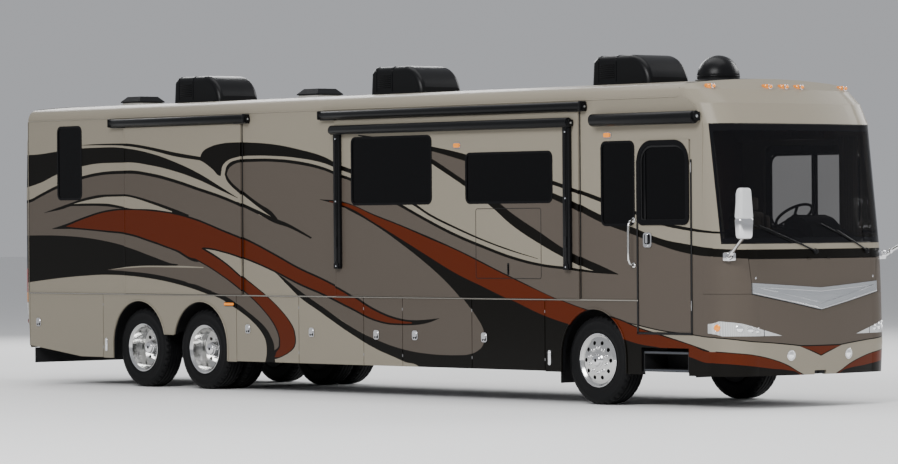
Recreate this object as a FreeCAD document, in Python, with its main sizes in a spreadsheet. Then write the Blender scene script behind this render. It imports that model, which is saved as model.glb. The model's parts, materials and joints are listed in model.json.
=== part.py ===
"""A tag-axle motorhome, 13.7 m long: body shell, slide-outs, bay doors, running gear and cab.

Millimetres. +X is forward, +Y is the driver's side (left), +Z is up; the origin is on the
ground under the middle of the whole length, mirrors included.
"""
import FreeCAD, Part
import Sketcher
import math
import os
import re

Vector = FreeCAD.Vector
RIGHT, LEFT = -1, 1

# ------------------------------------------------------------------ sizes
SIZE_ROWS = (
    # word, value, what it is
    ("half_width", 1295, "centreline to the outer face of a side wall"),
    ("wall_gauge", 60, "thickness of walls, roof and caps"),
    ("seam", 0.4, "gap between fixed panels that meet"),
    ("wall_top", 3480, "where the side wall ends and the roof's edge begins"),
    ("roof_rise", 210, "crown of the roof above the top of the side wall"),
    ("roof_edge_radius", 150, "radius between side wall and roof"),
    ("skirt_height", 365, "lowest edge of the side walls"),
    ("belt_height", 1200, "belt moulding, the line that the slide-outs start above"),
    ("wall_rear", -6750, "seam between side wall and rear cap"),
    ("wall_front", 6160, "seam between side wall and front cap"),
    ("wall_front_round", 390, "radius of the side wall's upper front corner"),
    ("rear_rise", 1170, "length of the skirt that climbs behind the kink"),
    ("rear_lift", 130, "how much it climbs"),
    ("deck_top", 1217, "cabin floor"),
    ("deck_gauge", 70, "thickness of the cabin floor"),
    ("wheel_radius", 508, "tyre, outside"),
    ("front_axle", 4360, "front axle"),
    ("drive_axle", -3010, "drive axle"),
    ("tag_axle", -4310, "tag axle"),
    ("tyre_width", 290, "tyre section"),
    ("wheel_inset", 208, "outer face of a side wall to the middle of an outer tyre"),
    ("dual_pitch", 342, "outer tyre to inner tyre"),
    ("front_arch_radius", 541, "front wheel arch"),
    ("rear_arch_radius", 560, "tag and drive wheel arches"),
    ("arch_rise", 42, "arch centre above the axle"),
    ("tongue_height", 690, "skirt between the tag and drive wheels"),
    ("bead_radius", 286, "seat of the tyre on the rim"),
    ("flange_radius", 308, "rim flange"),
    ("hub_bore", 46, "bearing bore of a hub"),
    ("running_gap", 0.3, "clearance of pins, spindles and runners"),
    ("door_gap", 12, "seam around a door"),
    ("door_gauge", 45, "thickness of a bay door"),
    ("bay_floor", 380, "underside of the bay floors"),
    ("sheet_gauge", 25, "bay floors and bulkheads"),
    ("bay_depth", 690, "bay, from the post faces inward"),
    ("bay_door_foot", 372, "lower edge of the bay doors"),
    ("bay_door_head", 1187, "upper edge of the bay doors"),
    ("pin_radius", 3, "hinge pin"),
    ("knuckle_radius", 5, "hinge knuckle"),
    ("knuckle_height", 30, "middle knuckle of a hinge"),
    ("entry_rear", 5113, "entry door, rear edge"),
    ("entry_front", 5960, "entry door, front edge"),
    ("entry_sill", 840, "entry door, lower edge"),
    ("entry_head", 2990, "entry door, upper edge"),
    ("slide_foot", 1206, "slide-out fascia, lower edge"),
    ("slide_head", 3350, "slide-out fascia, upper edge"),
    ("fascia_gauge", 22, "slide-out fascia outside the wall"),
    ("fascia_gap", 6, "fascia to wall"),
    ("fascia_lap", 34, "how far the fascia covers the wall"),
    ("slide_wall", 45, "thickness of the slide-out's own walls"),
    ("slide_gap", 12, "slide-out to the edge of its opening"),
    ("slide_depth", 960, "depth of the long slide-outs"),
    ("bedroom_depth", 760, "depth of the bedroom slide-out"),
    ("glass_gauge", 8, "side glass"),
    ("glass_inset", 6, "side glass behind the wall's face"),
    ("glass_corner", 85, "corner radius of the side windows"),
    ("nose_crown", 70, "bow of the front cap between its corners"),
    ("nose_corner", 400, "corner radius of the front cap in plan"),
    ("tail_crown", 40, "bow of the rear cap between its corners"),
    ("tail_corner", 190, "corner radius of the rear cap in plan"),
    ("screen_foot", 1830, "windshield, lower edge"),
    ("screen_drop", 310, "windshield, upper edge below the top of the side wall"),
    ("screen_foot_rear", 6394, "windshield, lower rear corners"),
    ("screen_head_rear", 6215, "windshield, upper rear corners"),
    ("rail_height", 250, "chassis rail"),
    ("rail_inner", 390, "centreline to a rail's inner face"),
    ("rail_width", 80, "chassis rail flange"),
    ("kingpin", 900, "centreline to a kingpin"),
    ("kingpin_radius", 22, "kingpin"),
)
NAMES = {row[0] for row in SIZE_ROWS}
# places that follow from the sizes
PLACES = {
    "crown_height": "(wall_top + roof_rise)",
    "screen_head": "(wall_top - screen_drop)",
    "wheel_plane": "(half_width - wheel_inset)",
}

doc = FreeCAD.newDocument("motorhome")
sheet = doc.addObject("Spreadsheet::Sheet", "Sizes")
for row_number, (word, value, meaning) in enumerate(SIZE_ROWS, 1):
    sheet.set("A%d" % row_number, word)
    sheet.set("B%d" % row_number, str(value))
    sheet.set("C%d" % row_number, meaning)
    sheet.setAlias("B%d" % row_number, word)
doc.recompute()


class Sizes:
    """The sheet's values as plain numbers, for outlines that need arithmetic."""
    def __getattr__(self, word):
        return value_of(word)


at = Sizes()
nodes = []


def spelled_out(formula):
    """A formula with its places written in the sheet's own words."""
    return re.sub(r"[a-z_]+", lambda word: PLACES.get(word.group(), word.group()), str(formula))


def value_of(formula):
    """The number that a formula in the sheet's words stands for."""
    sheet.set("D1", "=" + spelled_out(formula))
    sheet.recompute()
    return float(sheet.get("D1"))


def bind(formula):
    """Write a formula in the sheet's words as an expression of the document."""
    return re.sub(r"[a-z_]+", lambda word: "Sizes." + word.group() if word.group() in NAMES
                  else word.group(), spelled_out(formula))


# ------------------------------------------------------------------ building blocks
def box(name, x, y, z):
    """A box between three pairs of bounds, each a formula."""
    part = doc.addObject("Part::Box", name)
    for size, letter, (low, high) in zip(("Length", "Width", "Height"), "xyz", (x, y, z)):
        part.setExpression(size, bind("(%s) - (%s)" % (high, low)))
        part.setExpression("Placement.Base." + letter, bind(low))
    return part


def side_box(name, side, x, out, z):
    """A box on one side of the centreline; out is a pair of distances from it."""
    inner, outer = out
    y = (inner, outer) if side == LEFT else ("-(%s)" % outer, "-(%s)" % inner)
    return box(name, x, y, z)


TURNS = {"x": FreeCAD.Rotation(Vector(0, 1, 0), 90), "y": FreeCAD.Rotation(Vector(1, 0, 0), -90),
         "z": FreeCAD.Rotation()}


def rod(name, axis, radius, start, length):
    """A cylinder along one axis from its start point."""
    part = doc.addObject("Part::Cylinder", name)
    part.Placement = FreeCAD.Placement(Vector(), TURNS[axis])
    part.setExpression("Radius", bind(radius))
    part.setExpression("Height", bind(length))
    for letter, formula in zip("xyz", start):
        part.setExpression("Placement.Base." + letter, bind(formula))
    return part


def side_rod(name, side, radius, x, out, z):
    """A cylinder along Y on one side of the centreline."""
    inner, outer = out
    start = inner if side == LEFT else "-(%s)" % outer
    return rod(name, "y", radius, (x, start, z), "(%s) - (%s)" % (outer, inner))


def fuse(name, parts):
    joined = doc.addObject("Part::MultiFuse", name)
    joined.Shapes = parts
    joined.Refine = False
    return joined


def cut(name, base, tools):
    """The base less its tools."""
    result = doc.addObject("Part::Cut", name)
    result.Base = base
    result.Tool = tools[0] if len(tools) == 1 else fuse(name + "_tools", tools)
    result.Refine = False
    return result


def group(name, parts):
    """Separate solids that share a node."""
    result = doc.addObject("Part::Compound", name)
    result.Links = parts
    return result


def shaped(name, shape):
    """A form with no sketch or primitive of its own, such as a loft."""
    part = doc.addObject("Part::Feature", name)
    part.Shape = shape
    return part


def node(label, part):
    part.Label = label
    nodes.append(part)
    return part


def polygon(points):
    return Part.Face(Part.makePolygon(points + points[:1]))


def rounded_pane(name, x, z, out, side, radius):
    """A plate in a side wall with its four corners rounded; x, z and out are number pairs."""
    (x0, x1), (z0, z1), (inner, outer) = x, z, out
    plate = Part.makeBox(x1 - x0, outer - inner, z1 - z0,
                         Vector(x0, inner if side == LEFT else -outer, z0))
    upright = [edge for edge in plate.Edges if abs(edge.tangentAt(edge.FirstParameter).y) > 0.9]
    return plate.makeFillet(radius, upright) if radius > 0 else plate


def origin_plane(body, role):
    return next(item for item in body.Origin.OriginFeatures if item.Role == role)


def bound_outline(sketch, points):
    """Straight edges through points; each is (formula, value) for across and for along."""
    count = len(points)
    for index, (across, along) in enumerate(points):
        across_next, along_next = points[(index + 1) % count]
        sketch.addGeometry(Part.LineSegment(Vector(across[1], along[1], 0),
                                            Vector(across_next[1], along_next[1], 0)))
    for index in range(count):
        sketch.addConstraint(Sketcher.Constraint("Coincident", index, 2, (index + 1) % count, 1))
    for index, point in enumerate(points):
        for kind, (formula, value) in zip(("DistanceX", "DistanceY"), point):
            place = sketch.addConstraint(Sketcher.Constraint(kind, -1, 1, index, 1, value))
            sketch.setExpression("Constraints[%d]" % place, bind(formula))


def turned(name, centre, side, outline):
    """A body revolved about a wheel's axle; outline rows are (radius, distance out)."""
    body = doc.addObject("PartDesign::Body", name)
    sketch = body.newObject("Sketcher::SketchObject", name + "_outline")
    sketch.AttachmentSupport = (origin_plane(body, "XY_Plane"), [""])
    sketch.MapMode = "FlatFace"
    rows = [(radius, "%d * (%s)" % (side, out)) for radius, out in outline]
    bound_outline(sketch, [((radius, value_of(radius)), (out, value_of(out))) for radius, out in rows])
    spun = body.newObject("PartDesign::Revolution", name + "_spun")
    spun.Profile = sketch
    spun.ReferenceAxis = (sketch, ["V_Axis"])
    spun.Angle = 360
    body.setExpression("Placement.Base.x", bind(centre))
    body.setExpression("Placement.Base.z", bind("wheel_radius"))
    return body


def ring_of_holes(body, name, pitch, radius, count):
    """Round holes through a turned body, parallel to its axle."""
    sketch = body.newObject("Sketcher::SketchObject", name + "_centre")
    sketch.AttachmentSupport = (origin_plane(body, "XZ_Plane"), [""])
    sketch.MapMode = "FlatFace"
    sketch.addGeometry(Part.Circle(Vector(value_of(pitch), 0, 0), Vector(0, 0, 1), value_of(radius)))
    away = sketch.addConstraint(Sketcher.Constraint("DistanceX", -1, 1, 0, 3, value_of(pitch)))
    sketch.setExpression("Constraints[%d]" % away, bind(pitch))
    sketch.addConstraint(Sketcher.Constraint("PointOnObject", 0, 3, -1))
    size = sketch.addConstraint(Sketcher.Constraint("Radius", 0, value_of(radius)))
    sketch.setExpression("Constraints[%d]" % size, bind(radius))
    hole = body.newObject("PartDesign::Pocket", name)
    hole.Profile = sketch
    hole.Type = 1
    hole.Midplane = True
    ring = body.newObject("PartDesign::PolarPattern", name + "_ring")
    ring.Originals = [hole]
    ring.Axis = (origin_plane(body, "Y_Axis"), [""])
    ring.Angle = 360
    ring.Occurrences = count
    body.Tip = ring


def hinge_side(name, side, axis_x, heights, lug_reach):
    """Fixed half of a door's hinges: lugs with a bore, reaching in to what carries them."""
    parts = []
    for order, height in enumerate(heights):
        tag = "%s_%d" % (name, order)
        low = "%s - knuckle_height / 2" % height
        high = "%s + knuckle_height / 2" % height
        arm = side_box(tag + "_arm", side, ("%s - knuckle_radius" % axis_x, "%s + knuckle_radius" % axis_x),
                       (lug_reach, "half_width"), (low, high))
        start = (axis_x, "%d * half_width" % side)
        nose = rod(tag + "_nose", "z", "knuckle_radius", start + (low,), "knuckle_height")
        bore = rod(tag + "_bore", "z", "pin_radius + running_gap", start + (low + " - 1",),
                   "knuckle_height + 2")
        parts.append(cut(tag, fuse(tag + "_solid", [arm, nose]), [bore]))
    return parts


def hinge_moving(name, side, axis_x, heights, toward):
    """Moving half: a pin through the lug and a knuckle above and below, on the door's edge."""
    parts = []
    for order, height in enumerate(heights):
        tag = "%s_%d" % (name, order)
        start = (axis_x, "%d * half_width" % side)
        pin_low = "%s - knuckle_height" % height
        parts.append(rod(tag + "_pin", "z", "pin_radius", start + (pin_low,), "2 * knuckle_height"))
        spans = ((pin_low, "%s - knuckle_height / 2 - running_gap" % height),
                 ("%s + knuckle_height / 2 + running_gap" % height, "%s + knuckle_height" % height))
        for level, (low, high) in enumerate(spans):
            eye = "%s_%d" % (tag, level)
            parts.append(rod(eye + "_eye", "z", "knuckle_radius", start + (low,), "%s - (%s)" % (high, low)))
            x = ("%s - door_gap / 2 - 4" % axis_x, axis_x) if toward < 0 else (
                axis_x, "%s + door_gap / 2 + 4" % axis_x)
            parts.append(side_box(eye + "_leaf", side, x, ("half_width - knuckle_radius", "half_width"),
                                  (low, high)))
    return parts


# ------------------------------------------------------------------ side walls
BAY_SEAMS_RIGHT = ("-2260", "-1010", "245", "976", "2245", "3530")
BAY_SEAMS_LEFT = ("-2260", "-330", "1600", "3530")
BAY_HINGES = ("bay_door_foot + 130", "bay_door_head - 130")
REAR_BAY = ("-6738", "-5090")
WALL_IN = "half_width - wall_gauge"

# name, side, rear end, front end, depth, windows as (rear, front, foot, head)
SLIDES = (
    ("slideout_front", RIGHT, -260, 4150, "slide_depth", ((70, 1560, 2320, 3125), (2190, 3700, 2320, 2900))),
    ("slideout_bedroom", RIGHT, -4580, -2120, "bedroom_depth", ()),
    ("slideout_driver_side", LEFT, -2100, 3900, "slide_depth",
     ((-1500, -300, 2320, 2980), (1900, 3400, 2320, 2980))),
)
# side, rear, front, foot, head
WALL_WINDOWS = (
    (RIGHT, -6080, -5550, 2435, 3385),
    (RIGHT, 4510, 5050, 2050, 2990),
    (LEFT, -6080, -5550, 2435, 3385),
    (LEFT, -4300, -2700, 2435, 3100),
    (LEFT, 4560, 5820, 2000, 2960),
)


def slide_opening(name, side, rear, front):
    lap = "fascia_lap"
    return side_box(name, side, ("%s + %s" % (rear, lap), "%s - %s" % (front, lap)),
                    (WALL_IN + " - 20", "half_width + 20"), ("deck_top - 5", "slide_head - " + lap))


def wall_sheet(side):
    """The outline of a side wall seen from the side, with its rounded front corner, as a solid."""
    round_centre = Vector(at.wall_front - at.wall_front_round, 0, at.wall_top - at.wall_front_round)
    diagonal = at.wall_front_round * math.sqrt(0.5)
    corners = [Vector(at.wall_rear, 0, at.skirt_height + at.rear_lift),
               Vector(at.wall_rear + at.rear_rise, 0, at.skirt_height),
               Vector(at.wall_front, 0, at.skirt_height),
               Vector(at.wall_front, 0, round_centre.z)]
    arc = Part.Arc(corners[-1], round_centre + Vector(diagonal, 0, diagonal),
                   Vector(round_centre.x, 0, at.wall_top)).toShape()
    top_rear = Vector(at.wall_rear, 0, at.wall_top)
    edges = [Part.makeLine(first, second) for first, second in zip(corners, corners[1:])]
    edges += [arc, Part.makeLine(Vector(round_centre.x, 0, at.wall_top), top_rear),
              Part.makeLine(top_rear, corners[0])]
    inner = at.half_width - at.wall_gauge
    face = Part.Face(Part.Wire(edges))
    face.translate(Vector(0, inner if side == LEFT else -at.half_width, 0))
    return face.extrude(Vector(0, at.wall_gauge, 0))


def arch_cutters(name, side):
    """Wheel arches: round above the axle, straight below, with a raised tongue between the rear two."""
    across = (WALL_IN + " - 20", "half_width + 20")
    arches = (("front_axle", "front_arch_radius"), ("drive_axle", "rear_arch_radius"),
              ("tag_axle", "rear_arch_radius"))
    parts = []
    for order, (axle, radius) in enumerate(arches):
        tag = "%s_arch_%d" % (name, order)
        centre = "wheel_radius + arch_rise"
        parts.append(side_rod(tag, side, radius, axle, across, centre))
        parts.append(side_box(tag + "_foot", side, ("%s - %s" % (axle, radius), "%s + %s" % (axle, radius)),
                              across, ("0", centre)))
    parts.append(side_box(name + "_tongue", side, ("tag_axle", "drive_axle"), across, ("0", "tongue_height")))
    return parts


def make_wall(name, side, seams):
    tools = arch_cutters(name, side)
    across = (WALL_IN + " - 20", "half_width + 20")
    bay_height = ("0", "bay_door_head + door_gap / 2")
    tools.append(side_box(name + "_bays", side, ("%s - door_gap / 2" % seams[0],
                                                 "%s + door_gap / 2" % seams[-1]), across, bay_height))
    for slide, slide_at, rear, front, depth, windows in SLIDES:
        if slide_at == side:
            tools.append(slide_opening("%s_%s" % (name, slide), side, rear, front))
    for order, (window_at, rear, front, foot, head) in enumerate(WALL_WINDOWS):
        if window_at == side:
            pane = rounded_pane("window", (rear, front), (foot, head),
                                (at.half_width - at.wall_gauge - 20, at.half_width + 20), side,
                                at.glass_corner)
            tools.append(shaped("%s_window_%d" % (name, order), pane))
    if side == RIGHT:
        tools.append(side_box(name + "_rear_bay", side, ("wall_rear + 6", REAR_BAY[1] + " + door_gap / 2"),
                              across, bay_height))
        tools.append(side_box(name + "_entry", side,
                              ("entry_rear - door_gap / 2", "entry_front + door_gap / 2"), across,
                              ("entry_sill - door_gap / 2", "entry_head + door_gap / 2")))
        tools.append(side_box(name + "_step", side, ("entry_rear + 40", "entry_front - 40"), across,
                              ("0", "entry_sill - 170")))
    wall = cut(name + "_panel", shaped(name + "_sheet", wall_sheet(side)), tools)
    if side == RIGHT:
        lugs = []
        for order, height in enumerate(("entry_sill + 300", "entry_head - 300")):
            tag = "entry_lug_%d" % order
            low = "%s - knuckle_height / 2" % height
            start = ("entry_front", "-half_width")
            arm = side_box(tag + "_arm", side, ("entry_front", "entry_front + door_gap / 2 + 8"),
                           ("half_width - knuckle_radius", "half_width"),
                           (low, "%s + knuckle_height / 2" % height))
            nose = rod(tag + "_nose", "z", "knuckle_radius", start + (low,), "knuckle_height")
            bore = rod(tag + "_bore", "z", "pin_radius + running_gap", start + (low + " - 1",),
                       "knuckle_height + 2")
            lugs.append(cut(tag, fuse(tag + "_solid", [arm, nose]), [bore]))
        wall = fuse(name + "_with_lugs", [wall] + lugs)
    return node(name, wall)


make_wall("wall_right", RIGHT, BAY_SEAMS_RIGHT)
make_wall("wall_left", LEFT, BAY_SEAMS_LEFT)


def side_glass():
    """Panes that stay with the shell, seated in their openings."""
    panes = []
    gap = at.running_gap
    for order, (side, rear, front, foot, head) in enumerate(WALL_WINDOWS):
        outer = at.half_width - at.glass_inset
        pane = rounded_pane("pane", (rear + gap, front - gap), (foot + gap, head - gap),
                            (outer - at.glass_gauge, outer), side, at.glass_corner - gap)
        panes.append(shaped("shell_pane_%d" % order, pane))
    return panes


node("side_windows", group("side_windows_group", side_glass()))


# ------------------------------------------------------------------ floor, bays and door posts
def make_basement():
    edge = WALL_IN + " - seam"
    deck_low = "deck_top - deck_gauge"
    deck = box("deck", ("wall_rear + 6", "6090"), ("-(%s)" % edge, edge), (deck_low, "deck_top"))
    well = side_box("stair_well_cut", RIGHT, ("entry_rear + 50", "entry_front - 50"),
                    ("760", "half_width"), ("0", "deck_top + 10"))
    parts = [cut("deck_with_well", deck, [well])]
    landing = (("entry_rear + 30", "entry_front - 30"), ("740", edge), ("entry_sill - 40", "entry_sill + 20"))
    walls = ((("entry_rear + 30", "entry_rear + 50"), ("740", edge)),
             (("entry_front - 50", "entry_front - 30"), ("740", edge)),
             (("entry_rear + 30", "entry_front - 30"), ("740", "760")))
    parts.append(side_box("stair_landing", RIGHT, *landing))
    for order, (x, out) in enumerate(walls):
        parts.append(side_box("stair_wall_%d" % order, RIGHT, x, out, ("entry_sill - 40", deck_low + " + 1")))
    for side, seams, name, dividers in ((RIGHT, BAY_SEAMS_RIGHT, "right", (2, 4)),
                                        (LEFT, BAY_SEAMS_LEFT, "left", (1, 2))):
        post_out = edge
        post_in = "%s - 40" % edge
        inner = "%s - bay_depth" % post_in
        start, end = seams[0], seams[-1]
        long_span = ("%s - 5" % start, "%s + 5" % end)
        parts.append(side_box("bay_floor_" + name, side, long_span, (inner, post_out),
                              ("bay_floor", "bay_floor + sheet_gauge")))
        parts.append(side_box("bay_back_" + name, side, long_span, (inner, inner + " + 20"),
                              ("bay_floor", deck_low + " + 1")))
        for order, seam in enumerate(seams):
            tag = "bay_%s_%d" % (name, order)
            if order in (0, len(seams) - 1) or order in dividers:
                parts.append(side_box(tag + "_bulkhead", side, ("%s - 12" % seam, "%s + 12" % seam),
                                      (inner, post_out), ("bay_floor", deck_low + " + 1")))
            parts.append(side_box(tag + "_post", side, ("%s - 25" % seam, "%s + 25" % seam),
                                  (post_in, post_out), ("bay_floor", deck_low + " + 1")))
            if order > 0:
                parts += hinge_side(tag + "_lug", side, seam, BAY_HINGES, post_in)
    parts.append(side_box("rear_bay_post", RIGHT, ("%s - 25" % REAR_BAY[1], "%s + 25" % REAR_BAY[1]),
                          ("%s - 40" % edge, edge), ("bay_floor + 60", deck_low + " + 1")))
    parts += hinge_side("rear_bay_lug", RIGHT, REAR_BAY[1], BAY_HINGES, "%s - 40" % edge)
    return node("basement", fuse("basement_frame", parts))


make_basement()


def bay_door(label, side, rear_seam, front_seam):
    gap = "door_gap / 2"
    panel = side_box(label + "_panel", side, ("%s + %s" % (rear_seam, gap), "%s - %s" % (front_seam, gap)),
                     ("half_width - door_gauge", "half_width"), ("bay_door_foot", "bay_door_head"))
    parts = [panel] + hinge_moving(label + "_hinge", side, front_seam, BAY_HINGES, -1)
    return fuse(label + "_all", parts)


for order, (rear_seam, front_seam) in enumerate(zip(BAY_SEAMS_RIGHT, BAY_SEAMS_RIGHT[1:]), 1):
    node("bay_door_right_%d" % order, bay_door("bay_door_right_%d_form" % order, RIGHT, rear_seam, front_seam))
for order, (rear_seam, front_seam) in enumerate(zip(BAY_SEAMS_LEFT, BAY_SEAMS_LEFT[1:]), 1):
    node("bay_door_left_%d" % order, bay_door("bay_door_left_%d_form" % order, LEFT, rear_seam, front_seam))


def rear_bay_door():
    """The bay door behind the tag wheel, whose foot follows the rising skirt."""
    whole = bay_door("rear_bay_door_form", RIGHT, REAR_BAY[0], REAR_BAY[1])
    low = Part.makePolygon([Vector(at.wall_rear - 50, 0, 0), Vector(at.wall_rear + at.rear_rise, 0, 0),
                            Vector(at.wall_rear + at.rear_rise, 0, at.bay_door_foot),
                            Vector(at.wall_rear - 50, 0, at.bay_door_foot + at.rear_lift * 1.05),
                            Vector(at.wall_rear - 50, 0, 0)])
    wedge = Part.Face(low)
    wedge.translate(Vector(0, -at.half_width - 20, 0))
    return cut("rear_bay_door_cut", whole, [shaped("rear_rise_wedge", wedge.extrude(Vector(0, 140, 0)))])


node("bay_door_rear", rear_bay_door())


# ------------------------------------------------------------------ chassis
RAIL_FOOT = "deck_top - deck_gauge - running_gap - rail_height"
RAIL_HEAD = "deck_top - deck_gauge - running_gap"
RAIL_OUT = "rail_inner + rail_width"
RAIL_MID = "rail_inner + rail_width / 2"
CROSS_MEMBERS = (-6560, -4880, -3650, -2150, -500, 1200, 2900, 5350, 5900)
# axle, height of the spring seat, distances of the springs from the axle
SPRINGS = (("front_axle", "wheel_radius + 22", (0,)), ("drive_axle", "wheel_radius + 110", (-230, 230)),
           ("tag_axle", "wheel_radius + 72", (0,)))


def make_chassis():
    parts = [side_box("rail_%d" % side, side, ("-6640", "6020"), ("rail_inner", RAIL_OUT),
                      (RAIL_FOOT, RAIL_HEAD)) for side in (RIGHT, LEFT)]
    for place in CROSS_MEMBERS:
        parts.append(box("cross_member", (place - 40, place + 40), ("-rail_inner - 1", "rail_inner + 1"),
                         (RAIL_FOOT + " + 30", RAIL_HEAD + " - 40")))
    for axle, seat, offsets in SPRINGS:
        for side in (RIGHT, LEFT):
            for offset in offsets:
                parts.append(rod("air_spring", "z", 115, ("%s + %d" % (axle, offset), "%d * (%s)" % (
                    side, RAIL_MID), seat + " + running_gap"), "%s - (%s) + 1" % (RAIL_FOOT, seat)))
    receiver_length = ("-6960", "-6480")
    parts.append(box("receiver_tube", receiver_length, (-38, 38), (432, 508)))
    bore = box("receiver_bore", ("-6970", "-6500"), (-31.75, 31.75), (438.25, 501.75))
    parts.append(box("hitch_bar", ("-6640", "-6560"), ("-(%s)" % RAIL_OUT, RAIL_OUT), (430, 510)))
    for side in (RIGHT, LEFT):
        parts.append(side_box("hitch_drop_%d" % side, side, ("-6640", "-6560"), ("rail_inner", RAIL_OUT),
                              (430, RAIL_FOOT + " + 1")))
    return cut("chassis_with_bore", fuse("chassis_rails", parts), [bore])


node("chassis_frame", make_chassis())


def make_axles():
    axle_z = "wheel_radius"
    beam = box("front_beam", ("front_axle - 50", "front_axle + 50"), ("-kingpin + 40", "kingpin - 40"),
               (axle_z + " - 78", axle_z + " + 22"))
    front = [beam]
    bores = []
    for side in (RIGHT, LEFT):
        place = ("front_axle", "%d * kingpin" % side)
        front.append(rod("kingpin_eye", "z", "kingpin_radius + 30", place + (axle_z + " - 78",), 100))
        bores.append(rod("kingpin_bore", "z", "kingpin_radius + running_gap", place + (axle_z + " - 90",), 130))
    front_axle = cut("front_axle_beam", fuse("front_axle_solid", front), bores)
    housing = rod("drive_housing", "y", 90, ("drive_axle", "-wheel_plane + 200", axle_z),
                  "2 * (wheel_plane - 200)")
    bowl = rod("differential", "y", 200, ("drive_axle", -170, axle_z), 340)
    drive = [housing, bowl]
    for side in (RIGHT, LEFT):
        drive.append(side_box("spring_seat_drive_%d" % side, side, ("drive_axle - 350", "drive_axle + 350"),
                              ("rail_inner", RAIL_OUT), (axle_z + " + 60", axle_z + " + 110")))
        drive.append(side_rod("drive_spindle_%d" % side, side, "hub_bore - running_gap", "drive_axle",
                              ("wheel_plane - 250", "wheel_plane - 10"), axle_z))
    tag = [rod("tag_tube", "y", 60, ("tag_axle", "-wheel_plane + 250", axle_z), "2 * (wheel_plane - 250)")]
    for side in (RIGHT, LEFT):
        tag.append(side_box("spring_seat_tag_%d" % side, side, ("tag_axle - 120", "tag_axle + 120"),
                            ("rail_inner - 20", RAIL_OUT + " + 20"), (axle_z + " + 40", axle_z + " + 72")))
        tag.append(side_rod("tag_spindle_%d" % side, side, "hub_bore - running_gap", "tag_axle",
                            ("wheel_plane - 260", "wheel_plane - 10"), axle_z))
    return group("axle_set", [front_axle, fuse("drive_axle_all", drive), fuse("tag_axle_all", tag)])


node("axles", make_axles())
node("engine_block", box("engine", (-6340, -5060), ("-rail_inner + running_gap", "rail_inner - running_gap"),
                         (480, RAIL_FOOT + " + 180")))


def make_knuckle(label, side):
    axle_z = "wheel_radius"
    place = ("front_axle", "%d * kingpin" % side)
    x = ("front_axle - 50", "front_axle + 50")
    pin = rod(label + "_pin", "z", "kingpin_radius", place + (axle_z + " - 118",), 180)
    parts = [pin]
    for tag, low in (("lower", axle_z + " - 118"), ("upper", axle_z + " + 30")):
        parts.append(rod("%s_%s_eye" % (label, tag), "z", "kingpin_radius + 28", place + (low,), 32))
        parts.append(side_box("%s_%s_arm" % (label, tag), side, x, ("kingpin", "kingpin + 66"),
                              (low, low + " + 32")))
    parts.append(side_box(label + "_web", side, x, ("kingpin + 65", "kingpin + 90"),
                          (axle_z + " - 118", axle_z + " + 62")))
    parts.append(side_rod(label + "_spindle", side, "hub_bore - running_gap", "front_axle",
                          ("kingpin + 80", "wheel_plane + 95"), axle_z))
    return fuse(label + "_form", parts)


for side, name in ((RIGHT, "right"), (LEFT, "left")):
    node("knuckle_" + name, make_knuckle("knuckle_%s_casting" % name, side))

# ------------------------------------------------------------------ wheels
# rows: radius, distance out from the wheel's plane
TYRE = (("bead_radius + seam", "-tyre_width / 2 + 20"), ("flange_radius + 4", "-tyre_width / 2 + 20"),
        ("flange_radius + 22", "-tyre_width / 2 + 5"), ("wheel_radius - 90", "-tyre_width / 2"),
        ("wheel_radius - 22", "-tyre_width / 2 + 16"), ("wheel_radius", "-tyre_width / 2 + 40"),
        ("wheel_radius", "tyre_width / 2 - 40"), ("wheel_radius - 22", "tyre_width / 2 - 16"),
        ("wheel_radius - 90", "tyre_width / 2"), ("flange_radius + 22", "tyre_width / 2 - 5"),
        ("flange_radius + 4", "tyre_width / 2 - 20"), ("bead_radius + seam", "tyre_width / 2 - 20"))


def make_rim(label, centre, side, style):
    """A one-piece wheel: flanges and barrel, a disc domed out or dished in, and its hub."""
    plane = "wheel_plane"
    well = "bead_radius - 14"
    flange_in = "wheel_plane - tyre_width / 2 + 20 - 2 * seam"
    outside = [("bead_radius", flange_in), ("flange_radius", flange_in),
               ("flange_radius", "wheel_plane - %s" % "(tyre_width / 2 - 5)"),
               (well, "wheel_plane - (tyre_width / 2 - 5)")]
    rim_out = "wheel_plane + tyre_width / 2"
    if style == "domed":
        disc = [(well, rim_out + " - 75"), ("150", rim_out + " - 20"), ("150", "wheel_plane - 20"),
                ("hub_bore", "wheel_plane - 20"), ("hub_bore", "wheel_plane + 100"), ("0.0", "wheel_plane + 100"),
                ("0.0", rim_out + " + 36"), ("60", rim_out + " + 30"), ("82", rim_out + " + 2"),
                ("150", rim_out + " - 2"), ("235", rim_out + " - 12")]
        throat = rim_out + " - 26"
    else:
        disc = [(well, "wheel_plane - 110"), ("170", "wheel_plane - 126"), ("110", "wheel_plane - 146"),
                ("110", "wheel_plane - 170"), ("hub_bore", "wheel_plane - 170"),
                ("hub_bore", "wheel_plane"), ("0.0", "wheel_plane"),
                ("0.0", "wheel_plane + 62"), ("60", "wheel_plane + 55"), ("82", "wheel_plane + 30"),
                ("105", "wheel_plane - 60"), ("108", "wheel_plane - 112"), ("170", "wheel_plane - 104"),
                ("bead_radius - 18", "wheel_plane - 84")]
        throat = rim_out + " - 24"
    lip = [("bead_radius - 18", throat), ("flange_radius - 14", rim_out + " - 5"),
           ("flange_radius", rim_out + " - 5"), ("flange_radius", rim_out + " - 20 + 2 * seam"),
           ("bead_radius", rim_out + " - 20 + 2 * seam")]
    rim = turned(label, centre, side, outside + disc + lip)
    ring_of_holes(rim, label + "_hand_hole", "205" if style == "domed" else "210", "24", 10)
    return rim


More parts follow.
